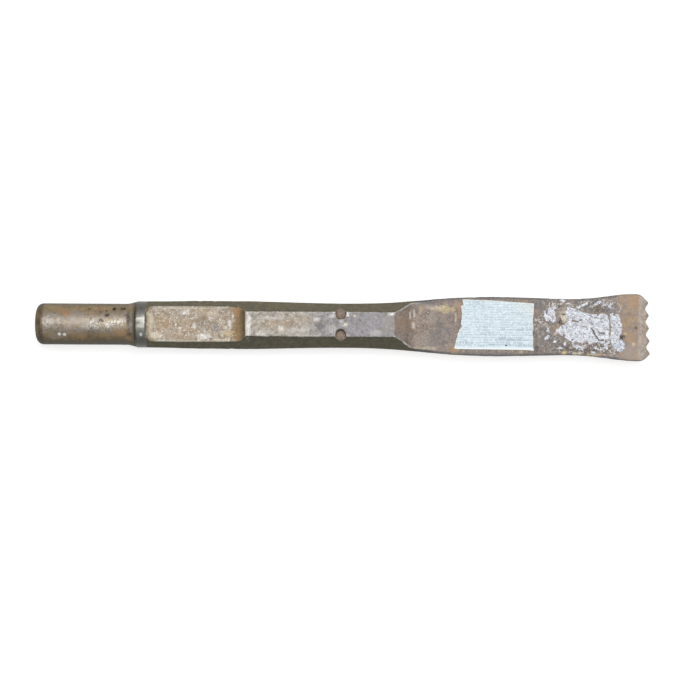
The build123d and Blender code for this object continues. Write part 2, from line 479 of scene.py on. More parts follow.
def even_copy(node, voxel):
    """A closed mesh with the shape of a CAD node, in small even faces."""
    work = welded(node)
    mesh = bpy.data.meshes.new(node + "_even")
    work.to_mesh(mesh)
    work.free()
    return through_modifier(mesh, "REMESH", {"mode": "VOXEL", "voxel_size": voxel})


def thinned(mesh, most):
    """The mesh with its flattest faces joined until it has at most so many triangles."""
    triangles = sum(len(face.vertices) - 2 for face in mesh.polygons)
    if triangles <= most:
        return mesh
    return through_modifier(mesh, "DECIMATE", {"ratio": most / triangles})


def sink_pits(places, centres, radii, depths):
    """How far each place lies in round pits, in millimetres."""
    sunk = np.zeros(len(places))
    for centre, radius, depth in zip(centres, radii, depths):
        close = np.abs(places[:, 0] - centre[0]) < radius
        far = np.linalg.norm(places[close] - centre, axis=1) / radius
        sunk[close] = np.maximum(sunk[close], depth * (1 - ease(far, 0.15, 1.0)))
    return sunk


def scattered(draw, chance, count):
    """Picks vertices at random, each as likely as its chance says."""
    return draw.choice(len(chance), count, replace=False, p=chance / chance.sum())


def worn_shape(places, edges):
    """The places with settled edges, crisp teeth, domed pits, a round collar and a skewed edge."""
    sharp = places
    places = settle(sharp, edges, 2, 0.5)
    places += (sharp - places) * (0.8 * ease(places[:, 0], BEVEL, BEVEL + 2))[:, None]
    from_pit = np.hypot(places[:, 0] - PIT, np.abs(places[:, 1]) - PIT_ACROSS) / (PIT_WIDTH / 2)
    places[:, 2] += PIT_DOME * np.clip(1 - from_pit ** 2, 0, 1) * ease(places[:, 2], 3.0, 5.0)
    reach = np.hypot(places[:, 1], places[:, 2])
    round_share = within(places[:, 0], COLLAR, COLLAR_END, 0.25) * ease(reach, 11.5, 11.9)
    places[:, 1:] *= 1 + ((COLLAR_RADIUS / reach - 1) * round_share)[:, None]
    places[:, 0] -= BEVEL_SKEW * places[:, 1] * ease(places[:, 0], BEVEL - 20, BEVEL + 3)
    return places


def worn_surface(mesh, wear):
    """Rounds, dents and pits the steel, and stores where it stands proud and where it is low."""
    edges = edge_array(mesh)
    places = worn_shape(tool_places(vertex_array(mesh)), edges)
    points = frame_points(places)
    place_vertices(mesh, points)
    normals = vertex_array(mesh, "normal")
    smooth = tool_places(settle(points, edges, 12, 0.7))
    proud = np.einsum("ij,ij->i", places - smooth, normals)
    along, across, up = places.T
    turned = 1 - ease(along, COLLAR_END - 0.2, COLLAR_END + 0.2)
    blade = ease(along, ROOT + 4, SCOOP_END)
    notch = within(along, COLLAR_END, RAMP_END, 0.5) * ease(up, 5, 6) * (1 - ease(up, 7.5, 9.5))
    collar = within(along, COLLAR, COLLAR_END, 0.3)
    edge = ease(along, BEVEL - 1, BEVEL + 1)

    height = 0.05 * lumps(places, 23, 11) + 0.045 * lumps(places, 7, 12) * (1 - 0.7 * turned)
    height += (0.035 + 0.03 * blade) * rough_lumps(places, 3.1, 13)
    height += (0.022 + 0.035 * notch) * rough_lumps(places, 1.3, 17)
    height *= 1 - 0.97 * collar

    deepest = 0.20
    rusty = 0.35 + 0.5 * turned + 0.9 * notch + 0.3 * blade
    rusty *= (1 - collar) * ease(rough_lumps(places, 8, 31), -0.3, 0.6)
    sunk = deepest * wear.depth * ease(rough_lumps(places, 1.5, 33), 0.38, 0.72) * rusty
    sunk += deepest / 2 * wear.depth * ease(rough_lumps(places, 0.9, 37), 0.40, 0.70) * rusty

    draw = np.random.RandomState(7)
    chance = ease(proud, 0.10, 0.22) * (1 - 0.97 * collar) * (1 - 0.75 * edge) + 1e-6
    picked = scattered(draw, chance, wear.nicks)
    radii = draw.uniform(0.4, 1.0, wear.nicks) ** 2 * 2.2 + 0.3
    depths = draw.uniform(0.03, 0.16, wear.nicks) * wear.depth
    nicked = sink_pits(places, places[picked], radii, depths)
    nicked *= 0.6 + 0.8 * ease(rough_lumps(places, 1.0, 39), -0.5, 0.5)

    burr = within(along, ROOT + 4.0, SCOOP_END + 1.0, 1.0) * ease(proud, 0.08, 0.20)
    burr *= ease(np.abs(across), 6.5, 8.0) * ease(up, 1.0, 3.0)
    burr *= 0.35 + 0.65 * ease(rough_lumps(places, 2.0, 41), -0.4, 0.5)
    moved = places + normals * (height - np.maximum(sunk, nicked) + 0.22 * burr)[:, None]
    place_vertices(mesh, frame_points(moved))
    store(mesh, "proud", proud)
    store(mesh, "sunk", sunk / deepest)
    store(mesh, "burr", burr)


# ---------------------------------------------------------------- steel forging: stains

# Stains and marks on the side that looks up: place along and across, length and width in
# millimetres, colour and strength. Later ones lie over earlier ones.
# A few of these are painted sheen and highlights, noted where they stand.
STEEL_STAINS = [
    # shank; the fleck at 8.5 and the lilac patch at 10.0 are a painted sheen where the lamps shine on it
    (8.5, 1.0, 7.0, 3.6, "fleck", 0.45), (47.0, -4.4, 4.0, 2.6, "ochre", 0.8),
    (2.4, 4.2, 2.2, 5.0, "rust", 0.3), (2.4, -3.8, 2.2, 6.0, "rust", 0.3),
    (16.5, 5.6, 13.0, 3.6, "tan", 0.5), (22.5, 3.6, 9.0, 8.0, "lilac", 0.75),
    (10.0, 1.5, 8.0, 6.0, "lilac", 0.7), (16.8, 5.2, 4.0, 5.0, "rust", 0.8),
    (30.0, 5.4, 2.4, 3.0, "rust", 0.75), (44.8, -4.2, 8.5, 4.4, "ochre", 0.7),
    (45.0, -3.9, 4.6, 2.6, "rust", 0.7), (30.0, -4.8, 3.8, 3.8, "grime", 0.5),
    (30.0, -4.8, 1.8, 1.6, "ochre", 0.7), (32.2, 7.6, 2.6, 2.0, "rust", 0.8),
    (41.8, 7.6, 2.1, 1.8, "black", 0.95), (38.3, 4.4, 2.8, 2.6, "grime", 0.75),
    (35.2, 1.6, 2.6, 2.4, "grime", 0.7), (46.8, 7.8, 2.2, 1.6, "black", 0.8),
    (49.5, 2.0, 2.2, 6.0, "grime", 0.6), (49.5, -5.0, 3.0, 3.6, "grime", 0.6),
    (12.0, 7.4, 10.0, 3.4, "ochre", 0.6), (26.0, 8.0, 12.0, 2.8, "ochre", 0.5),
    (38.0, 8.0, 8.0, 3.0, "ochre", 0.5), (12.0, -6.5, 9.0, 4.0, "lilac", 0.45),
    (24.0, -6.4, 9.0, 4.0, "ochre", 0.5), (37.5, -6.0, 8.0, 3.0, "ochre", 0.45),
    (48.6, -7.6, 4.0, 3.4, "ochre", 0.6), (48.8, 4.6, 3.0, 3.0, "grime", 0.5),
    # notch; the first cream patch is a painted highlight on the lit wall at the notch's collar end
    (60.2, 0.8, 3.2, 12.0, "cream", 0.85), (63.2, -5.4, 5.4, 3.8, "cream", 0.8),
    (66.5, 0.8, 8.0, 10.0, "ochre", 0.5), (78.3, 6.6, 5.0, 2.8, "white", 0.7),
    (83.0, -1.0, 2.4, 3.4, "white", 0.7), (92.0, 5.6, 5.5, 3.2, "cream", 0.6),
    (88.3, -6.2, 7.0, 3.4, "white", 0.8), (87.5, 1.5, 8.0, 8.0, "grime", 0.30),
    (94.5, -1.2, 3.0, 4.6, "slate", 0.8), (100.0, -4.4, 6.0, 2.8, "yellow", 0.85),
    (97.5, -7.8, 12.0, 1.4, "cream", 0.8), (103.0, 4.2, 1.6, 4.0, "white", 0.6),
    (101.4, 0.8, 1.5, 3.4, "white", 0.7), (99.2, -1.4, 2.2, 1.8, "cream", 0.7),
    (105.0, 5.6, 3.4, 7.0, "rust", 0.75), (106.5, -3.0, 3.6, 10.0, "ochre", 0.6),
    (78.0, 8.4, 36.0, 0.9, "cream", 0.6), (76.0, -8.6, 32.0, 0.9, "cream", 0.6),
    (73.0, 2.0, 1.8, 1.6, "cream", 0.8), (75.5, -3.4, 2.0, 4.0, "cream", 0.6),
    # flat between the notch and the blade; the first white streak, at its edge by the ramp, is worn
    # steel and in part a painted highlight
    (111.2, 0.6, 3.0, 14.0, "white", 0.8), (123.0, 3.6, 14.0, 2.0, "white", 0.4),
    (125.0, 0.3, 20.0, 5.4, "ochre", 0.4), (137.0, 2.6, 15.0, 5.0, "ochre", 0.35),
    (118.0, -5.0, 6.0, 3.0, "white", 0.6), (138.0, -2.4, 9.0, 2.6, "white", 0.3),
    (128.0, -2.0, 2.8, 3.4, "white", 0.7), (149.0, -0.9, 5.8, 4.4, "slate", 0.9),
    (146.2, 3.2, 3.4, 2.0, "white", 0.7), (161.8, 0.0, 3.0, 2.1, "cream", 0.95),
    (159.6, 2.2, 2.8, 2.4, "fleck", 0.7), (166.2, 5.0, 1.6, 1.4, "cream", 0.5),
    (154.5, 5.0, 3.0, 2.4, "white", 0.6), (154.0, -2.0, 6.0, 5.0, "fleck", 0.4),
    (177.0, -3.6, 6.0, 3.0, "fleck", 0.45), (158.4, -4.4, 1.6, 1.5, "lilac", 0.9),
    (157.2, 4.4, 1.2, 1.4, "white", 0.8), (162.6, 5.4, 1.6, 1.6, "white", 0.8),
    (183.0, 0.0, 6.0, 12.6, "lilac", 0.5), (185.0, 6.0, 4.0, 1.6, "white", 0.8),
    (142.0, -5.6, 18.0, 1.8, "fleck", 0.5),
    # blade
    (192.0, 0.6, 10.0, 10.0, "tan", 0.55), (195.0, 5.8, 1.3, 4.0, "fleck", 0.9),
    (197.2, 6.2, 1.3, 3.6, "fleck", 0.8), (196.4, 0.4, 1.6, 3.2, "fleck", 0.8),
    (200.8, 8.6, 2.2, 5.0, "yellow", 0.7), (208.5, 9.6, 12.0, 3.0, "cream", 0.45),
    (213.2, 9.0, 13.0, 4.2, "yellow", 0.6), (220.3, 9.0, 2.2, 9.5, "rust", 0.8),
    (218.6, 4.6, 1.6, 7.0, "cream", 0.6), (210.6, -4.6, 14.0, 10.0, "slate", 0.5),
    (202.0, -7.5, 12.0, 5.0, "lilac", 0.35), (217.6, -12.0, 5.0, 3.6, "rust", 0.6),
    (206.0, 3.5, 8.0, 5.0, "lilac", 0.45), (253.0, -13.2, 4.0, 1.6, "yellow", 0.5),
    (261.0, 7.4, 3.6, 5.0, "tan", 0.7), (260.6, -8.4, 2.6, 8.6, "slate", 0.8),
    (261.0, -10.6, 2.6, 4.4, "black", 0.7), (260.3, -4.2, 1.8, 4.4, "black", 0.4),
    (262.6, 10.6, 5.6, 6.5, "slate", 1.0), (263.0, 12.6, 10.0, 3.4, "slate", 0.8),
    (272.0, -8.0, 14.0, 7.0, "grime", 0.45), (265.0, 0.0, 14.0, 26.0, "blade_dark", 0.55),
    (260.6, 3.6, 1.8, 1.4, "fleck", 0.9), (262.8, 1.8, 2.0, 1.4, "fleck", 0.9),
    (261.0, -0.8, 1.8, 1.4, "fleck", 0.8), (263.6, -2.4, 2.4, 2.2, "slate", 0.9),
    (264.4, -3.6, 1.6, 1.6, "fleck", 0.7), (266.0, 0.6, 2.0, 1.4, "fleck", 0.9),
    (269.0, -9.6, 9.0, 4.0, "grime", 0.4), (202.0, 12.0, 12.0, 2.4, "slate", 0.5),
    (204.0, -11.6, 14.0, 1.8, "cream", 0.4), (238.0, -13.6, 34.0, 2.4, "slate", 0.4),
    # glue, dirt and rust round the label
    (285.0, 0.0, 52.0, 36.0, "blade_dark", 0.45), (275.4, 5.2, 6.4, 9.2, "glue", 0.8),
    (275.2, 5.6, 4.6, 7.0, "cream", 1.0), (273.1, 3.2, 1.7, 3.8, "black", 1.0),
    (275.0, 6.6, 2.2, 1.5, "black", 1.0), (274.4, 1.4, 1.8, 1.8, "black", 0.8),
    (272.0, -1.5, 7.0, 4.4, "rust", 0.65), (270.5, -3.6, 2.4, 2.0, "cream", 0.8),
    (299.2, 0.4, 2.2, 15.0, "glue", 0.7), (286.0, 10.0, 8.0, 4.0, "slate", 0.7),
    (293.0, 8.8, 9.0, 4.6, "grime", 0.45), (299.0, 9.6, 6.0, 4.0, "slate", 0.6),
    (282.0, -12.4, 34.0, 4.0, "grime", 0.55), (291.8, -4.6, 7.0, 7.0, "black", 0.6),
    (275.0, -13.4, 3.6, 2.2, "yellow", 0.95), (281.5, -13.8, 5.0, 1.8, "cream", 0.95),
    (291.0, -14.4, 11.0, 1.2, "yellow", 0.9), (293.8, -14.4, 3.0, 1.6, "rust", 0.95),
    (305.4, -5.3, 3.8, 2.4, "black", 1.0), (307.0, -3.2, 1.8, 1.8, "yellow", 0.8),
    (277.0, 13.2, 8.0, 2.2, "rust", 0.5), (292.0, 13.6, 6.0, 1.4, "grime", 0.6),
    (301.0, 9.0, 4.0, 8.0, "slate", 0.6), (284.0, 13.4, 38.0, 3.6, "slate", 0.5),
    (267.0, -8.0, 16.0, 12.0, "slate", 0.4),
    # band behind the teeth
    (311.6, 14.2, 6.0, 9.0, "rust", 0.5), (309.5, -12.0, 10.0, 9.0, "lilac", 0.6),
    (311.4, -8.6, 1.8, 2.0, "cream", 1.0), (312.8, -0.3, 1.8, 1.8, "grime", 0.8),
    (309.0, 7.4, 1.4, 1.4, "grime", 0.6), (307.5, 3.0, 8.0, 7.0, "ochre", 0.35),
    (309.6, -6.0, 5.0, 6.0, "rust", 0.35), (306.0, -8.0, 5.0, 5.0, "slate", 0.4),
    (317.0, 0.0, 2.0, 30.0, "tan", 0.5),
]

# Small marks with crisp edges, set out in the same way: specks of dirt, rust and cream scale, and three
# white ones that are painted glints, small reflections of a lamp, two on the shank and one on the
# collar.
CRISP_MARKS_AND_GLINTS = [
    (13.6, -5.9, 1.7, 1.5, "white", 1.0), (16.3, -6.0, 1.8, 1.5, "white", 1.0),
    (55.9, -5.9, 1.7, 1.9, "white", 1.0), (41.7, 7.5, 1.9, 1.5, "black", 0.9),
    (45.5, 7.5, 1.2, 1.0, "black", 0.8), (46.9, 7.5, 1.2, 1.3, "black", 0.8),
    (37.8, 6.3, 1.2, 1.0, "grime", 0.9), (38.6, 4.0, 2.0, 1.6, "grime", 0.7),
    (35.0, 1.4, 2.0, 1.5, "grime", 0.7), (32.2, 7.6, 1.5, 1.3, "rust", 0.9),
    (161.6, 0.0, 2.2, 1.6, "cream", 0.9), (166.0, 4.6, 1.2, 1.0, "cream", 0.7),
]

# Ovals of flecked dirt round the old label: place along and across, length and width.
LITTER = [(287.0, -11.6, 38.0, 7.5), (284.0, 11.8, 44.0, 6.0), (263.5, 0.5, 9.0, 12.0)]


def rim_inset(places):
    """How far each place lies in from the side of the tool, seen from above, in millimetres."""
    bins = np.clip(places[:, 0].astype(int), 0, int(EDGE))
    half_width = np.zeros(int(EDGE) + 1)
    np.maximum.at(half_width, bins, np.abs(places[:, 1]))
    return np.interp(places[:, 0], np.arange(len(half_width)) + 0.5, half_width) - np.abs(places[:, 1])


def stained(mesh, stains, look, seed):
    """Stores the colour and strength of the stains at each vertex, with ragged edges."""
    places = tool_places(vertex_array(mesh))
    ragged = 0.75 * rough_lumps(places, 1.7, seed) + 0.35 * rough_lumps(places, 0.7, seed + 5)
    shown = ease(places[:, 2], 0.5, 1.5)
    leaned = places[:, 1] + MARK_LEAN * places[:, 2]
    colour = np.zeros((len(places), 3))
    share = np.zeros(len(places))
    for along, across, length, width, tint, strength in stains:
        far = np.hypot((places[:, 0] - along) / (length / 2), (leaned - across) / (width / 2))
        amount = (1 - ease(far + ragged, 0.45, 1.30)) * strength * shown
        colour = colour * (1 - amount[:, None]) + np.array(getattr(look, tint)) * amount[:, None]
        share = share + (1 - share) * amount
    colour /= np.maximum(share, 1e-3)[:, None]
    store(mesh, "stained", share)
    attribute = mesh.attributes.new("stain", "FLOAT_COLOR", "POINT")
    opaque = np.concatenate([colour, np.ones((len(colour), 1))], axis=1)
    attribute.data.foreach_set("color", opaque.ravel())


# ---------------------------------------------------------------- steel forging: material

class Steel:
    """The steel's material while it is made: its noises and the stretches that it is split into."""

    def __init__(self, look):
        self.look = look
        self.finish = finish = Finish("worn_steel")
        self.along, self.across, self.up = along, across, up = finish.along, finish.across, finish.up
        normal = finish.node("ShaderNodeNewGeometry", output="Normal")
        self.level = finish.part(normal, "Z").size()
        self.sideways = finish.part(normal, "Y")
        self.flank = flank = self.sideways.size()

        self.tiny = finish.noise(0.45, 1.0, 3.0)
        self.fine = fine = finish.noise(1.0, 2.0, 5.0, warp=0.3)
        self.mottled = mottled = finish.noise(2.6, 4.0, 9.0, roughness=0.62)
        self.broad = broad = finish.noise(11.0, 3.0, 2.0)
        self.blotches = blotches = finish.noise(4.5, 4.0, 51.0, roughness=0.6, warp=0.5)
        curls = finish.noise(1.9, 2.0, 21.0, roughness=0.5, warp=1.2).lines(0.012, 0.04)
        self.curls = curls * finish.noise(1.3, 2.0, 33.0).rise(0.50, 0.62)
        self.sparks = finish.noise(0.7, 1.0, 41.0, roughness=0.7).rise(0.62, 0.74)
        self.flakes = finish.noise(1.6, 2.0, 91.0, roughness=0.5, warp=1.0).rise(0.60, 0.68)

        self.hexagon = along.rise(COLLAR_END - 0.15, COLLAR_END + 0.15)
        broad_face = flank.fall(0.45, 0.65).above(along.rise(SCOOP_END, SCOOP_END + 2))
        self.blade = along.rise(ROOT - 0.1, ROOT + 0.3) * broad_face
        self.panel = flank.fall(0.25, 0.45) * self.hexagon * (1 - self.blade)
        in_notch = along.band(COLLAR_END + 0.1, RAMP_END, 0.15) * up.band(2.0, 10.75, 0.3)
        self.notch = in_notch * flank.fall(0.35, 0.6)
        ragged_ramp = along + (mottled - 0.5) * 5.0 + (blotches - 0.5) * 5.0
        self.ramp = ragged_ramp.rise(RAMP - 1.5, RAMP + 1.5) * self.notch
        pits = [(PIT, side * PIT_ACROSS, PIT_WIDTH, PIT_WIDTH) for side in (1, -1)]
        self.pits = finish.patches(pits, fine, 0.04)
        self.collar = along.band(COLLAR - 0.05, COLLAR_END + 0.05, 0.12)
        self.shank = along.fall(COLLAR - 0.1, COLLAR + 0.1)
        self.bevel = (along + (mottled - 0.5) * 2.4).rise(BEVEL - 1.0, BEVEL + 1.2)
        ragged_band = along + (broad - 0.5) * 5.0 + (mottled - 0.5) * 5.0
        self.bare = ragged_band.rise(BARE - 1.8, BARE + 1.7)


def oxide_paint(steel):
    """Dark olive oxide of the slanted faces, with painted light and shade: lighter on the side that
    faces the lamps, darker high up next to the flat.
    """
    look, fine, mottled = steel.look, steel.fine, steel.mottled
    oxide = steel.finish.tint(look.oxide).towards(look.oxide_light, mottled.rise(0.42, 0.66) * 0.7)
    oxide = oxide.towards(look.ochre, steel.broad.rise(0.50, 0.66) * fine.rise(0.50, 0.66) * 0.35)
    # Painted light and shade: lighter on faces turned towards +Y, where the lamps stand, darker on those
    # turned away.
    oxide = oxide.times(0.78 + (steel.sideways - 0.1).rise(-0.5, 0.5) * 0.34)
    # Painted shade: darker high up on the slanted faces, next to the flat; the blotches vary the tone at
    # random.
    return oxide.times(1 - steel.up.rise(9.0, 10.8) * 0.22).times(0.90 + 0.20 * steel.blotches)


def shank_paint(steel):
    """Brown turned shank: lilac where it faces up, partly worn steel and partly a painted sheen, painted
    glints in a band near the collar, dark at its end, and painted shade towards its sides.
    """
    look, finish, along = steel.look, steel.finish, steel.along
    fine, blotches, sideways = steel.fine, steel.blotches, steel.sideways
    # Partly a painted sheen: lilac where the round shank faces up towards the lamps, as well as worn
    # lilac steel.
    crown_wear_and_sheen = steel.level.rise(0.72, 0.96)
    paint = finish.tint(look.shank)
    paint = paint.towards(look.lilac, crown_wear_and_sheen * (0.35 + 0.65 * steel.mottled.rise(0.36, 0.56)))
    rusted = steel.broad.rise(0.46, 0.60) * fine.rise(0.42, 0.60)
    paint = paint.towards(look.ochre, rusted * (0.65 - 0.45 * crown_wear_and_sheen))
    paint = paint.towards(look.shank, blotches.rise(0.50, 0.60) * 0.55)
    paint = paint.towards(look.grime, fine.fall(0.32, 0.42) * 0.45)
    paint = paint.times(0.80 + 0.32 * blotches.rise(0.30, 0.70))
    scratched = finish.noise(2.4, 1.0, 81.0, warp=1.6).lines(0.012, 0.04)
    scratched = scratched * finish.noise(1.7, 2.0, 83.0).rise(0.44, 0.54)
    # Painted glints: bright strokes in a band along the shank's upper side near the collar, where the
    # lamps' highlight falls.
    painted_glints = steel.across.band(-3.6, 1.8, 1.4) * steel.up.rise(2.0, 6.0)
    painted_glints = painted_glints * along.rise(24.0, 30.0) * along.fall(44.0, 50.0)
    paint = paint.towards(look.bright, steel.curls.above(steel.sparks).above(scratched) * painted_glints)
    paint = paint.towards(look.fleck, steel.curls * crown_wear_and_sheen * 0.35)
    end = along.fall(END_RIM - 0.9, END_RIM + 0.5)
    paint = paint.towards(look.oxide_light, end).times(1 - end * 0.12)
    ring = along.band(END_RIM - 0.2, END_RIM + 0.6, 0.4)
    paint = paint.towards(look.black, ring * (0.25 + 0.35 * fine))
    # Painted shade: the round shank is darker towards its sides, a little lighter on the side towards
    # the lamps and darker on the side away from them.
    paint = paint.times(0.25 + 0.78 * steel.level.rise(0.20, 0.97) + sideways.rise(0.2, 0.9) * 0.18)
    return paint.times(1 - (-sideways).rise(0.45, 0.90) * 0.36)


def panel_paint(steel):
    """Flats of the hexagon: beige by the notch and grey by the blade, with white flecks."""
    look, fine, mottled = steel.look, steel.fine, steel.mottled
    greyed = (steel.along + (mottled - 0.5) * 18.0).rise(RAMP_END + 22.0, RAMP_END + 50.0)
    paint = steel.finish.tint(look.panel_beige).towards(look.panel_grey, greyed)
    paint = paint.towards(look.panel_dark, mottled.rise(0.44, 0.64) * 0.80)
    paint = paint.towards(look.grime, fine.fall(0.34, 0.44) * 0.30)
    paint = paint.towards(look.white, steel.curls * (1 - greyed * 0.75) * 0.6)
    paint = paint.towards(look.fleck, steel.sparks * 0.5)
    paint = paint.towards(look.white, steel.flakes * (1 - greyed * 0.6) * 0.35)
    return paint.times(0.84 + 0.32 * fine)


def notch_paint(steel):
    """Pale scaly floor of the notch, dark in the two corners at the collar."""
    look, fine = steel.look, steel.fine
    paint = steel.finish.tint(look.notch)
    paint = paint.towards(look.notch_dark, steel.mottled.rise(0.40, 0.62) * 0.75)
    paint = paint.towards(look.ochre, steel.broad.fall(0.40, 0.50) * 0.30)
    paint = paint.towards(look.white, steel.flakes * 0.75)
    paint = paint.towards(look.white, steel.curls * 0.75)
    paint = paint.towards(look.cream, steel.sparks * 0.7)
    paint = paint.towards(look.grime, fine.fall(0.28, 0.40) * 0.5)
    nook = steel.along.fall(COLLAR_END + 0.8, COLLAR_END + 3.0) * steel.across.size().rise(5.2, 7.6)
    return paint.towards(look.oxide_light, nook * 0.8)


def ramp_paint(steel):
    """Rusty ramp at the end of the notch, darker near the panel."""
    look, blotches = steel.look, steel.blotches
    paint = steel.finish.tint(look.ramp).towards(look.ochre, steel.mottled.rise(0.46, 0.64) * 0.6)
    paint = paint.towards(look.grime, blotches.rise(0.50, 0.64) * 0.45)
    paint = paint.towards(look.rust, blotches.fall(0.34, 0.46) * 0.55)
    paint = paint.towards(look.cream, steel.curls.above(steel.sparks) * 0.55)
    paint = paint.times(0.82 + 0.36 * steel.fine)
    return paint.towards(look.oxide_light, steel.along.rise(RAMP_END - 4.0, RAMP_END - 0.5) * 0.85)


def bare_paint(steel):
    """Tan band behind the bevel."""
    look = steel.look
    paint = steel.finish.tint(look.tan).towards(look.blade, steel.mottled.rise(0.40, 0.60) * 0.75)
    paint = paint.towards(look.cream, steel.sparks * 0.5 + steel.curls * 0.15)
    return paint.times(0.86 + 0.28 * steel.fine)


def bevel_paint(steel):
    """Ground bevel at the teeth, darker at their points."""
    look, fine, mottled = steel.look, steel.fine, steel.mottled
    paint = steel.finish.tint(look.bevel).towards(look.blade, mottled.rise(0.44, 0.62) * 0.40)
    paint = paint.times(0.82 + 0.36 * fine)
    paint = paint.towards(look.cream, steel.sparks * 0.6 + steel.flakes * 0.35)
    paint = paint.towards(look.grime, fine.fall(0.32, 0.42) * 0.35)
    points = steel.along.rise(EDGE - 2.6, EDGE - 1.0)
    return paint.towards(look.oxide_light, points * (0.25 + 0.35 * mottled))


def blade_paint(steel):
    """Brown grey blade, with residue and flecked dirt round the label, and painted shade on its sides
    and in a dark rim.
    """
    look, finish, fine, mottled = steel.look, steel.finish, steel.fine, steel.mottled
    curls, sparks = steel.curls, steel.sparks
    paint = finish.tint(look.blade).towards(look.blade_dark, mottled.rise(0.42, 0.62) * 0.85)
    paint = paint.towards(look.tan, steel.broad.rise(0.48, 0.62) * fine.rise(0.42, 0.62) * 0.5)
    paint = paint.towards(look.fleck, curls * 0.35 + sparks * 0.4)
    paint = paint.towards(look.grime, fine.fall(0.33, 0.43) * 0.35)
    paint = paint.times(0.82 + 0.36 * fine)

    crust = finish.noise(1.1, 4.0, 61.0, roughness=0.7).rise(0.50, 0.60)
    residue = steel.along.band(BEVEL - 50.0, BEVEL - 8.0, 2.5) * steel.up.rise(0.5, 1.5)
    residue = residue * mottled.rise(0.40, 0.52)
    paint = paint.towards(look.fleck, crust * residue * 0.55)
    paint = paint.towards(look.white, curls.above(sparks) * residue * 0.8)
    crumbs = finish.noise(1.2, 3.0, 95.0, roughness=0.65, warp=0.8)
    litter = finish.patches(LITTER, mottled, 0.5)
    paint = paint.towards(look.grime, crumbs.fall(0.40, 0.48) * litter * 0.75)
    paint = paint.towards(look.white, crumbs.rise(0.54, 0.60) * litter * 0.85)
    paint = paint.towards(look.yellow, crumbs.rise(0.62, 0.66) * litter * 0.6)

    paint = paint.towards(bare_paint(steel), steel.bare)
    paint = paint.towards(bevel_paint(steel), steel.bevel * (0.75 + 0.25 * fine.rise(0.4, 0.6)))
    # Painted shade: faces turned sideways, on the blade's rounded sides, are darker.
    paint = paint.times(1 - steel.flank.rise(0.25, 0.75) * 0.55)
    # Painted shade: a dark slate rim along the blade's outline seen from above, where its edges turn
    # away.
    rim = (finish.stored("inset") + (mottled - 0.5) * 1.2).fall(0.2, 1.7) * (1 - steel.bare * 0.8)
    return paint.towards(look.slate, rim * 0.65).times(1 - rim * 0.38)


def pit_paint(steel):
    """Brown floors of the two round pits, with walls painted lighter against the shade in them."""
    look = steel.look
    paint = steel.finish.tint(look.pit).towards(look.tan, steel.mottled.rise(0.42, 0.58) * 0.5)
    paint = paint.towards(look.grime, steel.fine.fall(0.36, 0.48) * 0.5)
    paint = paint.towards(look.fleck, steel.curls * 0.4)
    # Painted light: the steep walls are lightened against the shade that falls in the pits.
    return paint.times(1 + (1 - steel.level).rise(0.2, 0.9) * 0.9)


def collar_paint(steel):
    """Rubbed grey steel of the collar, olive at the side of the shank, with a painted highlight on top
    and painted shade towards its sides.
    """
    look = steel.look
    paint = steel.finish.tint(look.collar)
    paint = paint.towards(look.oxide_light, steel.mottled.rise(0.52, 0.70) * 0.35)
    # Painted light and shade: bright where the collar faces up, darker towards its sides.
    lit = 0.25 + 0.58 * steel.level.rise(0.58, 1.0) + 0.06 * steel.sideways.rise(0.2, 0.8)
    return paint.times(lit).towards(look.oxide, steel.along.fall(COLLAR + 0.3, COLLAR + 1.1) * 0.75)


def stain_share(steel):
    """How much of the stains shows: broken up by short strokes."""
    strokes = steel.finish.noise(0.9, 2.0, 71.0, stretch=(1.5, 0.7, 1.0), roughness=0.6)
    broken = 0.22 + 0.60 * strokes.rise(0.42, 0.56) + 0.35 * steel.mottled.rise(0.40, 0.55)
    share = steel.finish.stored("stained") * (broken + 0.15 * steel.tiny)
    return share.held() * steel.level.rise(0.45, 0.7)


def bright_wear(steel, proud):
    """Where the hexagon's edges and the burr at the scoop are rubbed bright."""
    worn = proud.rise(0.10, 0.22) * (0.35 + 0.65 * steel.fine.rise(0.40, 0.58))
    worn = worn * steel.hexagon * (1 - steel.flank.rise(0.5, 0.8) * 0.6)
    worn = worn * (1 - steel.along.rise(SCOOP_END, SCOOP_END + 6) * 0.85)
    worn = worn * (1 - steel.along.band(RAMP - 2.0, RAMP_END - 0.05, 0.15) * 0.9)
    worn = worn * (1 - steel.along.band(PIT - PIT_WIDTH / 2, PIT + PIT_WIDTH / 2, 1.0))
    return worn.above(steel.finish.stored("burr").rise(0.25, 0.7)).held()


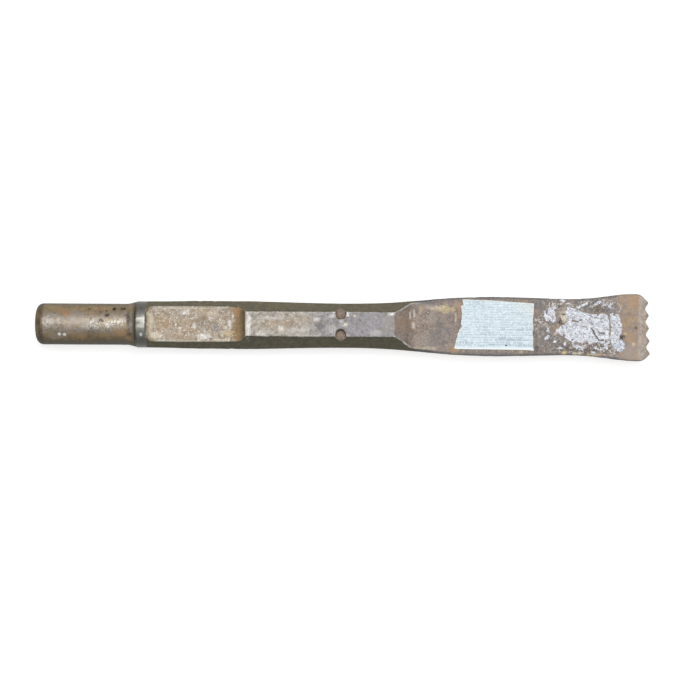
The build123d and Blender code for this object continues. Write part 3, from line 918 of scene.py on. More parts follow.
def steel_material(look):
    """Brown oxidised steel, bright where it wears, with rust in its hollows, painted shade on faces
    turned from the lamps and a few painted glints and highlights.
    """
    steel = Steel(look)
    finish, along = steel.finish, steel.along
    colour = oxide_paint(steel).towards(shank_paint(steel), steel.shank)
    colour = colour.towards(panel_paint(steel), steel.panel)
    colour = colour.towards(notch_paint(steel), steel.notch)
    colour = colour.towards(ramp_paint(steel), steel.ramp)
    colour = colour.towards(blade_paint(steel), steel.blade)
    # Stains, a few of them painted sheen and highlights.
    colour = colour.towards(finish.stored_tint("stain"), stain_share(steel))
    colour = colour.towards(pit_paint(steel), steel.pits)
    colour = colour.towards(collar_paint(steel), steel.collar)
    # Crisp specks, and the three painted glints.
    for *oval, tint, strength in CRISP_MARKS_AND_GLINTS:
        mark = finish.patch(*oval, steel.fine, 0.15)
        colour = colour.towards(getattr(look, tint), mark * strength)

    proud = finish.stored("proud")
    dirt = finish.stored("sunk").rise(0.15, 0.8) * 0.55 + (-proud).rise(0.06, 0.22) * 0.75
    colour = colour.towards(look.grime, dirt)
    colour = colour.towards(look.oxide, along.band(COLLAR - 1.6, COLLAR - 0.3, 0.35) * 0.55)
    colour = colour.towards(look.black, along.band(COLLAR - 0.6, COLLAR - 0.05, 0.15) * 0.8)
    worn = bright_wear(steel, proud)
    colour = colour.towards(look.bright, worn * 0.8).times(0.80 + steel.tiny * 0.40)

    level, shank, collar = steel.level, steel.shank, steel.collar
    roughness = 0.60 - 0.10 * steel.mottled - 0.20 * collar - 0.16 * worn - 0.14 * shank * level
    metallic = 0.10 + 0.65 * collar * level + 0.4 * worn + 0.40 * shank * level.rise(0.5, 1.0)
    height = (steel.fine * 0.5 + steel.tiny * 0.35 + steel.curls * 0.3) * (1 - collar)
    return finish.finished(colour, roughness.held(), metallic.held(), height, 0.10, shine=0.25)


# ---------------------------------------------------------------- thin pieces on the blade

def surface_heights(tree, along, across):
    """Height of the steel under each place, from straight above, in millimetres."""
    heights = np.zeros(len(along))
    start = TOOL_HIGH.z + 0.01
    for index, (x, y) in enumerate(zip(along, across)):
        origin = Vector((AXIS.x + x * MM, y * MM, start))
        hit = tree.ray_cast(origin, Vector((0, 0, -1)))[0]
        heights[index] = (hit.z - AXIS.z) / MM if hit is not None else np.nan
    return np.where(np.isnan(heights), np.nanmin(heights), heights)


def segment_distance(along, across, start, end):
    """Distance to the straight line from start to end."""
    (ax, ay), (bx, by) = start, end
    dx, dy = bx - ax, by - ay
    share = np.clip(((along - ax) * dx + (across - ay) * dy) / (dx * dx + dy * dy), 0, 1)
    return np.hypot(along - ax - share * dx, across - ay - share * dy)


def path_distance(along, across, path):
    """Distance to an open path."""
    return np.min([segment_distance(along, across, a, b) for a, b in zip(path, path[1:])], axis=0)


def outline_distance(along, across, outline):
    """Distance to a closed outline, above zero inside it."""
    nearest = path_distance(along, across, outline + outline[:1])
    inside = np.zeros(len(along), bool)
    for (ax, ay), (bx, by) in zip(outline, outline[1:] + outline[:1]):
        if by != ay:
            crosses = (ay > across) != (by > across)
            inside ^= crosses & (along < ax + (across - ay) * (bx - ax) / (by - ay))
    return np.where(inside, nearest, -nearest)


def snapped_grid(low, high, step, inside):
    """A grid of places whose outermost ones are moved onto the line where inside is zero.

    Gives back the places along and across, how far inside each lies, and the grid's quads.
    """
    columns = int(math.ceil((high[0] - low[0]) / step)) + 1
    rows = int(math.ceil((high[1] - low[1]) / step)) + 1
    along, across = np.meshgrid(
        low[0] + step * np.arange(columns), low[1] + step * np.arange(rows), indexing="ij"
    )
    field = inside(along.ravel(), across.ravel()).reshape(columns, rows)
    slope_along, slope_across = np.gradient(field, step)
    steep = np.maximum(np.hypot(slope_along, slope_across), 1e-3)
    snapped = np.abs(field) / steep < 0.55 * step
    move = np.where(snapped, field / steep ** 2, 0)
    along = along - move * slope_along
    across = across - move * slope_across
    solid = (field > 0) | snapped
    firm = (field > 0) & ~snapped
    quad = [(0, 0), (1, 0), (1, 1), (0, 1)]
    shifted = [solid[i:columns - 1 + i, j:rows - 1 + j] for i, j in quad]
    firmly = [firm[i:columns - 1 + i, j:rows - 1 + j] for i, j in quad]
    kept = np.logical_and.reduce(shifted) & np.logical_or.reduce(firmly)
    index = np.arange(columns * rows).reshape(columns, rows)
    faces = np.stack([index[i:columns - 1 + i, j:rows - 1 + j][kept] for i, j in quad], axis=1)
    used, faces = np.unique(faces, return_inverse=True)
    return along.ravel()[used], across.ravel()[used], field.ravel()[used], faces.reshape(-1, 4)


def cut_skin(name, span, margin, step, inside, relief):
    """A thin closed mesh on the blade, where inside is above zero.

    Span holds the lowest and highest corner that the skin may reach, but for the margin round
    them. Relief gives the height of its upper side above the steel.
    """
    low, high = span
    along, across, field, faces = snapped_grid(low - margin, high + margin, step, inside)
    ground = surface_heights(steel_tree(), along, across)
    top = ground + relief(along, across, field)
    count = len(along)
    sides = np.concatenate([faces[:, [k, (k + 1) % 4]] for k in range(4)])
    names = {tuple(side) for side in sides.tolist()}
    rims = [side for side in names if (side[1], side[0]) not in names]
    places = np.concatenate([
        np.stack([along, across, top], axis=1),
        np.stack([along, across, ground - SKIN_ROOT], axis=1),
    ])
    polygons = faces.tolist() + (faces[:, ::-1] + count).tolist()
    polygons += [[b, a, a + count, b + count] for a, b in rims]
    mesh = bpy.data.meshes.new(name)
    mesh.from_pydata(frame_points(places).tolist(), [], polygons)
    store(mesh, "inset", np.concatenate([field, field]))
    drop_crumbs(mesh, FEWEST_FACES)
    return mesh


def drop_crumbs(mesh, fewest):
    """Removes separate bits of a mesh that have fewer faces than that."""
    work = bmesh.new()
    work.from_mesh(mesh)
    crumbs = []
    for bit in loose_bits(work):
        if len({face for vertex in bit for face in vertex.link_faces}) < fewest:
            crumbs.extend(bit)
    bmesh.ops.delete(work, geom=crumbs, context="VERTS")
    work.to_mesh(mesh)
    work.free()


def steel_tree():
    """The worn steel's surface, for thin pieces to lie on."""
    steel = bpy.data.objects["worn_forging"].data
    points = [vertex.co.copy() for vertex in steel.vertices]
    return BVHTree.FromPolygons(points, [tuple(face.vertices) for face in steel.polygons])


def node_span(node):
    """Lowest and highest place of a CAD node, along and across, in millimetres."""
    low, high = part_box(node)
    low, high = tool_places(np.array([low, high]))
    return low[:2], high[:2]


def placed(shares, span):
    """Points given in shares of a length and width, set out between the corners of a span."""
    low, high = span
    return [(low[0] + a * (high[0] - low[0]), low[1] + b * (high[1] - low[1])) for a, b in shares]


# ---------------------------------------------------------------- tape

# Outline of the tape in shares of its length and width, from its torn end round to its cut end.
TAPE_OUTLINE = [
    (0.10, 1.0), (0.115, 0.895), (0.085, 0.865), (0.098, 0.70), (0.085, 0.52), (0.095, 0.47),
    (0.052, 0.36), (0.022, 0.16), (0.0, 0.045), (0.012, 0.02), (0.5, 0.014), (0.9, 0.010),
    (1.0, -0.002), (0.988, 0.10), (0.992, 0.22), (0.982, 0.36), (0.992, 0.45), (0.985, 0.60),
    (0.997, 0.75), (1.0, 0.93), (0.75, 0.955), (0.45, 0.985),
]


def ribbed_tape(look):
    """The strip of ribbed white tape."""
    low, high = span = node_span("tape_strip")
    outline = placed(TAPE_OUTLINE, span)

    def inside(along, across):
        torn = 1 - ease(along, low[0] + 6, low[0] + 9)
        ragged = (0.04 + 0.10 * torn) * lumps(flat_places(along, across), 0.9, 51)
        return outline_distance(along, across, outline) + ragged

    def relief(along, across, field):
        places = flat_places(along, across)
        ribs = np.cos(2 * math.pi * (across + 0.18 * lumps(places, 9, 52)) / look.rib_pitch)
        lift = 0.16 * (1 - ease(field, 0.0, 1.6)) * ease(rough_lumps(places, 4.0, 53), 0.0, 0.7)
        weave = 0.018 * lumps(places * np.array([0.6, 1.0, 1.0]), 0.7, 54)
        slack = 0.07 * ease(lumps(places, 8, 55), 0.2, 0.9)
        return look.thickness / MM + look.rib_height / MM * ribs + lift + weave + slack

    mesh = cut_skin("ribbed_tape", span, 0.6, look.step / MM, inside, relief)
    piece = new_piece("ribbed_tape", mesh, tape_material(look, low, high), ["tape_strip"])
    length, width = high - low
    width * MM
    length * MM
    return piece


def tape_material(look, low, high):
    """Bluish white tape with fine ribs, crossed fibres and a yellowed cut end, painted shade in its
    grooves and lower half, and a painted lit lower edge.
    """
    finish = Finish("white_tape")
    along, across = finish.along, finish.across
    middle_along, middle_across = (low + high) / 2
    rib = across + (finish.noise(9.0, 1.0, 4.0) - 0.5) * 0.36
    turns = rib * (2 * math.pi / look.rib_pitch)
    wave = finish.amount("ShaderNodeMath", {"operation": "COSINE"}, {0: turns})
    fibres = finish.noise(0.9, 2.0, 7.0, stretch=(0.35, 1.6, 1.0))
    crossing = finish.noise(0.8, 2.0, 12.0, stretch=(1.3, 0.7, 1.0))
    streaks = finish.noise(1.6, 2.0, 17.0, stretch=(0.10, 1.0, 1.0))
    cloud = finish.noise(5.0, 2.0, 31.0)

    shaded = across.fall(middle_across - 6.0, middle_across + 4.0)
    # Painted shade: grey in the grooves between the ribs, stronger on the shaded lower half.
    grooves = (-wave).rise(0.0, 0.9) * cloud.rise(0.30, 0.52)
    colour = finish.tint(look.white)
    colour = colour.towards(look.grey, grooves * (0.55 + 0.35 * shaded))
    colour = colour.towards(look.grey, streaks.rise(0.52, 0.64) * (0.45 + 0.5 * shaded))
    colour = colour.towards(look.grey, fibres.rise(0.50, 0.64) * 0.55)
    colour = colour.towards(look.white_warm, crossing.rise(0.52, 0.64) * 0.75)
    lit_edge = across.fall(middle_across - 12.0, middle_across - 11.2)
    colour = colour.towards(look.white_warm, lit_edge * 0.8)

    cut_end = (along + (cloud - 0.5) * 0.6).rise(high[0] - 0.9, high[0] - 0.2)
    rim = (finish.stored("inset") + (fibres - 0.5) * 0.3).fall(0.10, 0.55)
    corner = along.rise(middle_along + 4.0, middle_along + 24.0)
    corner = corner * across.rise(middle_across, middle_across + 14.0) * cloud.rise(0.3, 0.6)
    yellowed = (cut_end * 0.6).above(rim * 0.6).above(corner * 0.5)
    colour = colour.towards(look.yellowed, yellowed)
    speck = finish.patch(middle_along + 6.4, middle_across - 10.6, 1.3, 0.9, fibres, 0.2)
    colour = colour.towards(look.speck, speck)
    height = wave * 0.3 + fibres * 0.5 + crossing * 0.3
    return finish.finished(colour, 0.72 + 0.1 * cloud, 0.0, height, 0.06)


# ---------------------------------------------------------------- old label

# Bits of the old label: outline in shares of its length and width, how ragged it is, and how
# far it reaches past that outline.
LABEL_BITS = [
    ([
        (0.0, 0.758), (0.026, 0.847), (0.074, 0.886), (0.122, 0.935), (0.153, 0.857),
        (0.144, 0.739), (0.153, 0.582), (0.11, 0.553), (0.074, 0.621), (0.026, 0.573),
        (0.004, 0.661),
    ], 0.9, 0.1),
    ([
        (0.279, 0.876), (0.351, 0.856), (0.46, 0.788), (0.532, 0.758), (0.628, 0.749),
        (0.725, 0.749), (0.773, 0.71), (0.797, 0.621), (0.791, 0.445), (0.782, 0.308),
        (0.797, 0.171), (0.737, 0.132), (0.676, 0.191), (0.628, 0.171), (0.556, 0.132),
        (0.52, 0.21), (0.472, 0.151), (0.387, 0.191), (0.315, 0.21), (0.231, 0.308),
        (0.141, 0.386), (0.171, 0.455), (0.243, 0.523), (0.279, 0.602), (0.265, 0.7),
    ], 0.75, 0.15),
    ([
        (0.387, 0.88), (0.46, 0.958), (0.532, 1.0), (0.546, 0.944), (0.484, 0.886),
        (0.417, 0.837),
    ], 0.7, -0.1),
    ([
        (0.803, 0.739), (0.845, 0.768), (0.905, 0.739), (0.929, 0.661), (0.947, 0.543),
        (0.947, 0.386), (0.917, 0.308), (0.905, 0.239), (0.953, 0.21), (0.989, 0.132),
        (0.983, 0.069), (0.941, 0.0), (0.893, 0.014), (0.845, 0.073), (0.823, 0.151),
        (0.816, 0.288), (0.821, 0.445), (0.811, 0.582),
    ], 0.6, 0.2),
    ([
        (0.195, 0.21), (0.315, 0.191), (0.508, 0.112), (0.676, 0.132), (0.797, 0.132),
        (0.785, 0.014), (0.628, 0.034), (0.436, 0.053), (0.267, 0.093), (0.189, 0.132),
    ], 1.6, -0.75),
    ([
        (0.0, 0.56), (0.05, 0.54), (0.12, 0.53), (0.135, 0.44), (0.07, 0.37), (0.01, 0.31),
    ], 1.7, -0.8),
    ([
        (0.25, 0.98), (0.33, 0.99), (0.36, 0.93), (0.28, 0.9),
    ], 1.6, -0.6),
    ([
        (0.7, 0.98), (0.78, 0.99), (0.8, 0.9), (0.72, 0.87),
    ], 1.5, -0.5),
]
# Cracks through the label, in the same shares.
LABEL_CRACKS = [
    [(0.575, 0.46), (0.60, 0.41), (0.635, 0.30), (0.675, 0.225), (0.725, 0.235)],
    [(0.66, 0.39), (0.70, 0.365), (0.73, 0.37)],
    [(0.35, 0.61), (0.41, 0.60), (0.46, 0.62)],
]
LABEL_SHINE_SPOT = (303.6, -10.0, 8.0, 7.0)     # bluish spot: place along and across, length, width


def crazed_label(look):
    """What is left of the paper label: a torn, crazed patch."""
    span = node_span("old_label")

    def inside(along, across):
        places = flat_places(along, across)
        ragged = rough_lumps(places, 2.0, 61) + 0.35 * lumps(places, 0.6, 64)
        field = np.full(len(along), -9.0)
        for outline, raggedness, left in LABEL_BITS:
            bit = outline_distance(along, across, placed(outline, span))
            field = np.maximum(field, bit + raggedness * ragged + left)
        holes = ease(rough_lumps(places, 2.2, 65), 0.46, 0.62) * 2.0
        holes *= 0.25 + 0.75 * (1 - ease(field, 1.2, 3.5))
        field = np.minimum(field, 1.6) - holes
        gap = 0.30 + 0.22 * lumps(places, 1.0, 62)
        for crack in LABEL_CRACKS:
            field = np.minimum(field, path_distance(along, across, placed(crack, span)) - gap)
        return field

    def relief(along, across, field):
        places = flat_places(along, across)
        crumple = 0.09 * np.abs(rough_lumps(places, 1.5, 66, 3))
        crease = 0.12 * (1 - ease(np.abs(rough_lumps(places, 5.0, 67, 2)), 0.0, 0.16))
        curl = 0.18 * (1 - ease(field, 0.0, 0.9)) * ease(rough_lumps(places, 3.0, 68), -0.1, 0.5)
        return look.thickness / MM + crumple + crease + curl

    mesh = cut_skin("crazed_label", span, 0.8, look.step / MM, inside, relief)
    return new_piece("crazed_label", mesh, label_paper(look), ["old_label"])


def scrap_places():
    """Middle, direction and reach of each scrap of label in the frame."""
    work = welded("label_scraps")
    found = []
    for bit in loose_bits(work):
        points = tool_places(np.array(sorted(tuple(vertex.co) for vertex in bit)))[:, :2]
        middle = points.mean(axis=0)
        values, axes = np.linalg.eigh(np.cov((points - middle).T))
        found.append((tuple(middle), tuple(axes[:, 1]), np.sqrt(values[::-1]) * 1.55))
    work.free()
    return sorted(found, key=lambda scrap: scrap[0])


def label_flakes(look):
    """Separate scraps of the label round the patch."""
    scraps = scrap_places()

    def inside(along, across):
        best = np.full(len(along), -9.0)
        for middle, axis, reach in scraps:
            dx, dy = along - middle[0], across - middle[1]
            lengthwise = (dx * axis[0] + dy * axis[1]) / reach[0]
            crosswise = (dy * axis[0] - dx * axis[1]) / reach[1]
            best = np.maximum(best, (1 - np.hypot(lengthwise, crosswise)) * reach[1])
        return best + 0.55 * rough_lumps(flat_places(along, across), 1.1, 71) + 0.08

    def relief(along, across, field):
        places = flat_places(along, across)
        curl = 0.12 * (1 - ease(field, 0.0, 0.5)) * ease(lumps(places, 2.0, 72), -0.2, 0.6)
        return look.thickness / MM + 0.05 * np.abs(rough_lumps(places, 1.2, 73)) + curl

    span = node_span("label_scraps")
    mesh = cut_skin("label_flakes", span, 0.6, look.flake_step / MM, inside, relief)
    return new_piece("label_flakes", mesh, label_paper(look), ["label_scraps"])


def label_paper(look):
    """The label's material, made once for its patch and its scraps."""
    return bpy.data.materials.get("label_paper") or label_material(look)


def label_material(look):
    """Lilac white paper, crazed dark, with brown glue showing."""
    finish = Finish("label_paper")
    cracks = finish.cell_edges(1.7, 3.0)
    cloud = finish.noise(5.0, 3.0, 6.0)
    fine = finish.noise(0.9, 2.0, 14.0, warp=0.8)
    finer = finish.noise(0.5, 1.0, 19.0)
    spots = finish.noise(1.8, 3.0, 25.0)
    fibres = finish.noise(1.5, 2.0, 29.0, roughness=0.5, warp=1.4).lines(0.015, 0.06)
    lie = math.radians(28)
    slant = finish.noise(1.0, 3.0, 35.0, stretch=(0.35, 1.5, 1.0), roughness=0.6, turn=lie)
    inset = finish.stored("inset")
    colour = finish.tint(look.paper)
    colour = colour.towards(look.paper_blue, cloud.rise(0.44, 0.60) * 0.8)
    colour = colour.towards(look.paper_blue, finish.patch(*LABEL_SHINE_SPOT, fine, 0.3) * 0.9)
    greyed = fine.rise(0.46, 0.60) * 0.75 + finer.rise(0.50, 0.66) * 0.35
    colour = colour.towards(look.paper_grey, greyed)
    colour = colour.towards(look.paper_white, fibres * (0.35 + 0.65 * cloud.rise(0.35, 0.55)))
    colour = colour.towards(look.paper_white, slant.rise(0.52, 0.62) * 0.7)
    colour = colour.towards(look.paper_grey, slant.fall(0.36, 0.45) * 0.6)
    colour = colour.towards(look.crack, cracks.fall(0.0, 0.10) * spots.rise(0.44, 0.58) * 0.85)
    colour = colour.towards(look.glue, spots.rise(0.64, 0.74) * 0.7)
    colour = colour.towards(look.crack, (inset + (fine - 0.5) * 0.4).fall(0.0, 0.30) * 0.45)
    height = cracks.rise(0.0, 0.12) * 0.5 + fine * 0.4 + fibres * 0.3
    return finish.finished(colour, 0.7 + 0.1 * fine, 0.0, height, 0.10)


# ---------------------------------------------------------------- settings

def screen(red, green, blue):
    """A colour as a screen shows it, from 0 to 255, turned into the linear value of its paint."""
    def linear(value):
        value = value / 255
        return value / 12.92 if value <= 0.04045 else ((value + 0.055) / 1.055) ** 2.4
    return tuple(linear(value) for value in (red, green, blue))


def colour_setting(name, description, shown):
    """A colour, given as a screen shows it."""
    return FloatVectorProperty(
        name=name, description=description, subtype="COLOR", size=3, min=0, max=1, default=screen(*shown)
    )


def length_setting(name, description, default, low, high):
    """A length in metres."""
    return FloatProperty(
        name=name, description=description, default=default, min=low, max=high,
        subtype="DISTANCE", unit="LENGTH", precision=5,
    )


def angle_setting(name, description, degrees, low, high):
    """An angle, with its default in degrees and its limits in radians."""
    return FloatProperty(
        name=name, description=description, default=math.radians(degrees), min=low, max=high,
        subtype="ANGLE", unit="ROTATION",
    )


class SteelSettings(bpy.types.PropertyGroup):
    voxel: length_setting("Face size", "Size of the steel's faces", 0.0004, 0.0002, 0.002)
    triangles: IntProperty(
        name="Most triangles", description="The steel is thinned to this many triangles",
        default=192000, min=1000, max=200000,
    )
    nicks: IntProperty(name="Nicks", description="Nicks along the edges", default=260, min=0, max=5000)
    depth: FloatProperty(
        name="Wear", description="Depth of the pits and nicks, 1 as found", default=1.0,
        min=0.0, max=3.0, subtype="FACTOR",
    )
    oxide: colour_setting("Oxide", "Dark olive brown of the slanted faces", (74, 70, 51))
    oxide_light: colour_setting("Light oxide", "Lighter patches in the oxide", (97, 87, 62))
    shank: colour_setting("Shank", "Brown of the shank", (132, 117, 88))
    panel_beige: colour_setting("Panel, beige", "Flat panel next to the notch", (160, 153, 142))
    panel_grey: colour_setting("Panel, grey", "Flat panel next to the blade", (137, 135, 139))
    panel_dark: colour_setting("Panel, dark", "Darker patches on the panel", (116, 108, 102))
    notch: colour_setting("Notch", "Floor of the notch", (161, 149, 134))
    notch_dark: colour_setting("Notch, dark", "Brown patches on the floor of the notch", (124, 108, 90))
    ramp: colour_setting("Ramp", "Brown ramp at the end of the notch", (121, 104, 78))
    blade: colour_setting("Blade", "Brown grey of the blade", (132, 120, 112))
    blade_dark: colour_setting("Blade, dark", "Darker patches on the blade", (104, 95, 90))
    tan: colour_setting("Bare band", "Tan band behind the bevel", (152, 130, 108))
    bevel: colour_setting("Bevel", "Grey beige bevel at the teeth", (172, 163, 154))
    collar: colour_setting("Collar", "Rubbed steel of the collar", (151, 151, 145))
    fleck: colour_setting("Flecks", "Light flecks of bare steel", (196, 190, 184))
    # White also paints the three glints among the crisp marks.
    white: colour_setting("White", "Nearly white scale and worn spots", (218, 217, 212))
    rust: colour_setting("Rust", "Orange rust", (165, 129, 92))
    ochre: colour_setting("Ochre", "Ochre brown rust", (150, 124, 88))
    yellow: colour_setting("Yellow", "Yellow ochre stains", (186, 168, 128))
    cream: colour_setting("Cream", "Cream coloured scale", (198, 188, 168))
    lilac: colour_setting("Lilac", "Lilac grey patches", (147, 139, 131))
    slate: colour_setting("Slate", "Dark blue grey stains", (104, 104, 106))
    pit: colour_setting("Round pits", "Brown floor of the two round pits", (121, 107, 95))
    glue: colour_setting("Glue", "Olive brown glue of the label", (140, 128, 98))
    grime: colour_setting("Grime", "Dark dirt in pits and corners", (70, 60, 50))
    black: colour_setting("Black", "Nearly black dirt", (34, 30, 27))
    # Bright also paints the glints on the shank.
    bright: colour_setting("Bright edges", "Steel rubbed bright on the edges", (200, 199, 193))


class TapeSettings(bpy.types.PropertyGroup):
    step: length_setting("Face size", "Size of the tape's faces", 0.0003, 0.0001, 0.002)
    thickness: length_setting("Thickness", "Thickness of the tape", 0.00025, 0.00005, 0.001)
    rib_height: length_setting("Rib height", "Height of the ribs from the middle", 0.00004, 0.0, 0.0002)
    rib_pitch: FloatProperty(
        name="Rib pitch", description="Distance from rib to rib, in millimetres",
        default=1.32, min=0.2, max=5.0,
    )
    white: colour_setting("White", "Bluish white of the tape", (200, 214, 221))
    white_warm: colour_setting("Bright white", "Brighter crossed threads", (221, 231, 235))
    grey: colour_setting("Grey", "Shaded grooves between ribs", (164, 178, 188))
    yellowed: colour_setting("Yellowed", "Yellowed cut end", (222, 218, 196))
    speck: colour_setting("Speck", "Dark speck", (70, 66, 84))


class LabelSettings(bpy.types.PropertyGroup):
    step: length_setting("Face size", "Size of the label's faces", 0.00028, 0.0001, 0.002)
    flake_step: length_setting("Face size of scraps", "Size of the scraps' faces", 0.0002, 0.0001, 0.002)
    thickness: length_setting("Thickness", "Thickness of the paper", 0.00012, 0.00002, 0.001)
    paper: colour_setting("Paper", "Lilac white paper", (202, 204, 211))
    paper_white: colour_setting("White fibres", "Bright fibres of the paper", (231, 235, 239))
    paper_blue: colour_setting("Blue paper", "Bluish patches", (188, 200, 211))
    paper_grey: colour_setting("Grey paper", "Greyed fibres", (151, 149, 159))
    crack: colour_setting("Cracks", "Dirt in the crazing", (92, 82, 84))
    glue: colour_setting("Glue", "Brown glue", (150, 130, 96))


class StageSettings(bpy.types.PropertyGroup):
    lens: FloatProperty(
        name="Lens", description="Focal length of the camera", default=100.0, min=10, max=400,
        unit="CAMERA",
    )
    view_width: length_setting("View width", "Width that the camera sees at the tool", 0.3649, 0.05, 5.0)
    elevation: angle_setting("Elevation", "Camera's angle above the floor", 86.7, 0.0, math.pi / 2)
    roll: angle_setting("Roll", "Turn of the camera about its line of sight", 0.38, -math.pi, math.pi)
    aim: FloatVectorProperty(
        name="Aim", description="Point that the camera looks at, from the middle of the tool", size=2,
        default=(0.0039, -0.01266), subtype="XYZ", unit="LENGTH",
    )
    key_power: FloatProperty(
        name="Key light", description="Power of the soft light above", default=11.6,
        min=0, max=1000, unit="POWER",
    )
    fill_power: FloatProperty(
        name="Fill light", description="Power of the smaller light in front", default=3.3,
        min=0, max=1000, unit="POWER",
    )
    sky: FloatProperty(
        name="Sky", description="Strength of the light all round", default=0.45, min=0, max=5
    )
    glow: FloatProperty(
        name="Floor glow", description="Light that comes through the floor", default=0.66, min=0, max=2
    )
    floor: colour_setting("Floor", "Pale floor", (180, 180, 180))


# ---------------------------------------------------------------- stage

def pale_floor(stage, place):
    """A wide pale disc under the tool that glows a little."""
    finish = Finish("pale_floor")
    cloud = finish.noise(160.0, 2.0)
    paint = finish.tint(stage.floor).times(0.985 + 0.03 * cloud)
    mesh = bpy.data.meshes.new("floor")
    work = bmesh.new()
    bmesh.ops.create_circle(work, cap_ends=True, segments=96, radius=4.0)
    work.to_mesh(mesh)
    work.free()
    mesh.materials.append(finish.finished(paint, 0.8 + 0.1 * cloud, shine=0.1, glow=stage.glow))
    floor = bpy.data.objects.new("floor", mesh)
    floor.location = place
    bpy.context.scene.collection.objects.link(floor)


def studio_sky(stage):
    """Even light all round, weaker near the floor."""
    world = bpy.data.worlds.new("studio")
    world.use_nodes = True
    nodes, links = world.node_tree.nodes, world.node_tree.links
    background = nodes["Background"]
    background.inputs["Strength"].default_value = stage.sky
    direction = nodes.new("ShaderNodeTexCoord")
    split = nodes.new("ShaderNodeSeparateXYZ")
    ramp = nodes.new("ShaderNodeMapRange")
    for name, value in (("From Min", 0.0), ("From Max", 0.8), ("To Min", 0.35), ("To Max", 1.0)):
        ramp.inputs[name].default_value = value
    links.new(direction.outputs["Generated"], split.inputs[0])
    links.new(split.outputs["Z"], ramp.inputs["Value"])
    links.new(ramp.outputs["Result"], background.inputs["Color"])
    bpy.context.scene.world = world


def softbox(name, aim, reach, size, power):
    """An area light that stands off from the aim by reach and faces it."""
    lamp = bpy.data.lights.new(name, "AREA")
    lamp.shape = "RECTANGLE"
    lamp.size, lamp.size_y = size
    lamp.energy = power
    light = bpy.data.objects.new(name, lamp)
    light.location = aim + Vector(reach)
    light.rotation_euler = (aim - light.location).to_track_quat("-Z", "Y").to_euler()
    bpy.context.scene.collection.objects.link(light)


def studio_camera(stage, middle):
    """A long lens that looks down on the tool, a little from its near side."""
    lens = bpy.data.cameras.new("camera")
    lens.lens = stage.lens
    lens.clip_start = 0.01
    lens.clip_end = 20.0
    distance = stage.view_width * stage.lens / lens.sensor_width
    aim = Vector((middle.x + stage.aim[0], middle.y + stage.aim[1], AXIS.z))
    back = Vector((0.0, -math.cos(stage.elevation), math.sin(stage.elevation)))
    turn = (-back).to_track_quat("-Z", "Y").to_matrix().to_4x4()
    roll = Matrix.Rotation(stage.roll, 4, "Z")
    camera = bpy.data.objects.new("camera", lens)
    camera.matrix_world = Matrix.Translation(aim + back * distance) @ turn @ roll
    bpy.context.scene.collection.objects.link(camera)
    bpy.context.scene.camera = camera


# ---------------------------------------------------------------- operators

class CHISEL_OT_steel(bpy.types.Operator):
    """Builds the worn steel forging"""
    bl_idname = "chisel.steel"
    bl_label = "Steel forging"

    def execute(self, context):
        look = context.scene.chisel_steel
        mesh = even_copy("chisel_forging", look.voxel)
        worn_surface(mesh, look)
        mesh = thinned(mesh, look.triangles)
        stained(mesh, STEEL_STAINS, look, 81)
        store(mesh, "inset", rim_inset(tool_places(vertex_array(mesh))))
        mesh.shade_smooth()
        new_piece("worn_forging", mesh, steel_material(look), ["chisel_forging"])
        return {"FINISHED"}


class CHISEL_OT_tape(bpy.types.Operator):
    """Builds the strip of ribbed tape on the blade"""
    bl_idname = "chisel.tape"
    bl_label = "Tape"

    def execute(self, context):
        ribbed_tape(context.scene.chisel_tape)
        return {"FINISHED"}


class CHISEL_OT_label(bpy.types.Operator):
    """Builds the torn patch that is left of the old label"""
    bl_idname = "chisel.label"
    bl_label = "Old label"

    def execute(self, context):
        crazed_label(context.scene.chisel_label)
        return {"FINISHED"}


class CHISEL_OT_flakes(bpy.types.Operator):
    """Builds the separate scraps of the old label"""
    bl_idname = "chisel.flakes"
    bl_label = "Label scraps"

    def execute(self, context):
        label_flakes(context.scene.chisel_label)
        return {"FINISHED"}


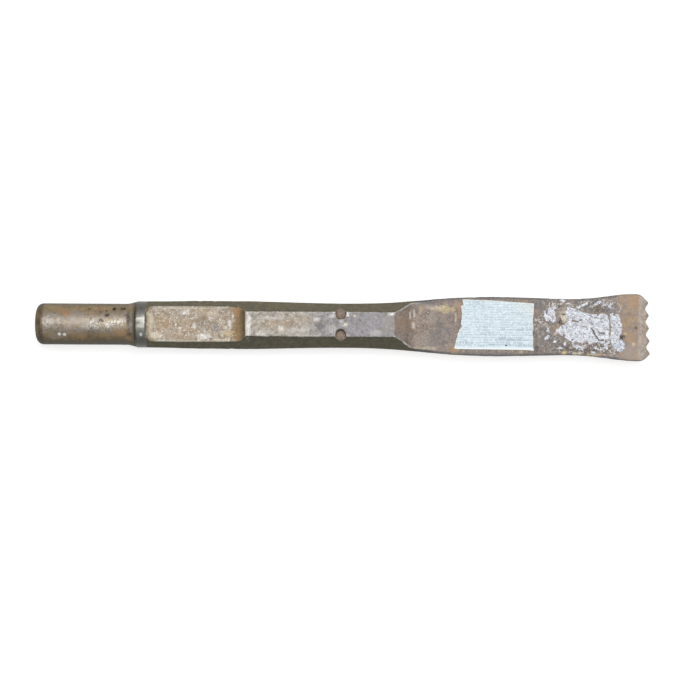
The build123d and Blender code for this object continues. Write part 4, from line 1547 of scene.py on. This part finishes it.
class CHISEL_OT_stage(bpy.types.Operator):
    """Builds the floor, the lights and the camera"""
    bl_idname = "chisel.stage"
    bl_label = "Stage"

    def execute(self, context):
        stage = context.scene.chisel_stage
        context.scene.view_settings.view_transform = "Standard"
        low, high = CAD_BOX
        middle = (low + high) / 2
        pale_floor(stage, (middle.x, middle.y, low.z))
        studio_sky(stage)
        softbox("key", middle, (0.12, 0.36, 1.2), (0.9, 0.7), stage.key_power)
        softbox("fill", middle, (0.02, -0.14, 1.2), (0.5, 0.36), stage.fill_power)
        studio_camera(stage, middle)
        return {"FINISHED"}


class CHISEL_PT_panel(bpy.types.Panel):
    """Lists the pieces of the chisel and their settings"""
    bl_idname = "CHISEL_PT_panel"
    bl_label = "Worn chisel"
    bl_space_type = "VIEW_3D"
    bl_region_type = "UI"
    bl_category = "Chisel"

    def draw(self, context):
        layout = self.layout
        for operator, group in PIECES:
            box = layout.box()
            box.operator(operator.bl_idname)
            settings = getattr(context.scene, group)
            for name in settings.__annotations__:
                box.prop(settings, name)


GROUPS = {
    "chisel_steel": SteelSettings,
    "chisel_tape": TapeSettings,
    "chisel_label": LabelSettings,
    "chisel_stage": StageSettings,
}
PIECES = [
    (CHISEL_OT_steel, "chisel_steel"),
    (CHISEL_OT_tape, "chisel_tape"),
    (CHISEL_OT_label, "chisel_label"),
    (CHISEL_OT_flakes, "chisel_label"),
    (CHISEL_OT_stage, "chisel_stage"),
]


def register():
    """Adds the settings, the operators and the panel."""
    for name, group in GROUPS.items():
        bpy.utils.register_class(group)
        setattr(bpy.types.Scene, name, PointerProperty(type=group))
    for operator, _ in PIECES:
        bpy.utils.register_class(operator)
    bpy.utils.register_class(CHISEL_PT_panel)


def unregister():
    """Takes them away again."""
    bpy.utils.unregister_class(CHISEL_PT_panel)
    for operator, _ in reversed(PIECES):
        bpy.utils.unregister_class(operator)
    for name, group in GROUPS.items():
        delattr(bpy.types.Scene, name)
        bpy.utils.unregister_class(group)


def main():
    """Builds every piece and the stage."""
    register()
    bpy.ops.chisel.stage()
    bpy.ops.chisel.steel()
    bpy.ops.chisel.tape()
    bpy.ops.chisel.label()
    bpy.ops.chisel.flakes()


if __name__ == "__main__":
    main()
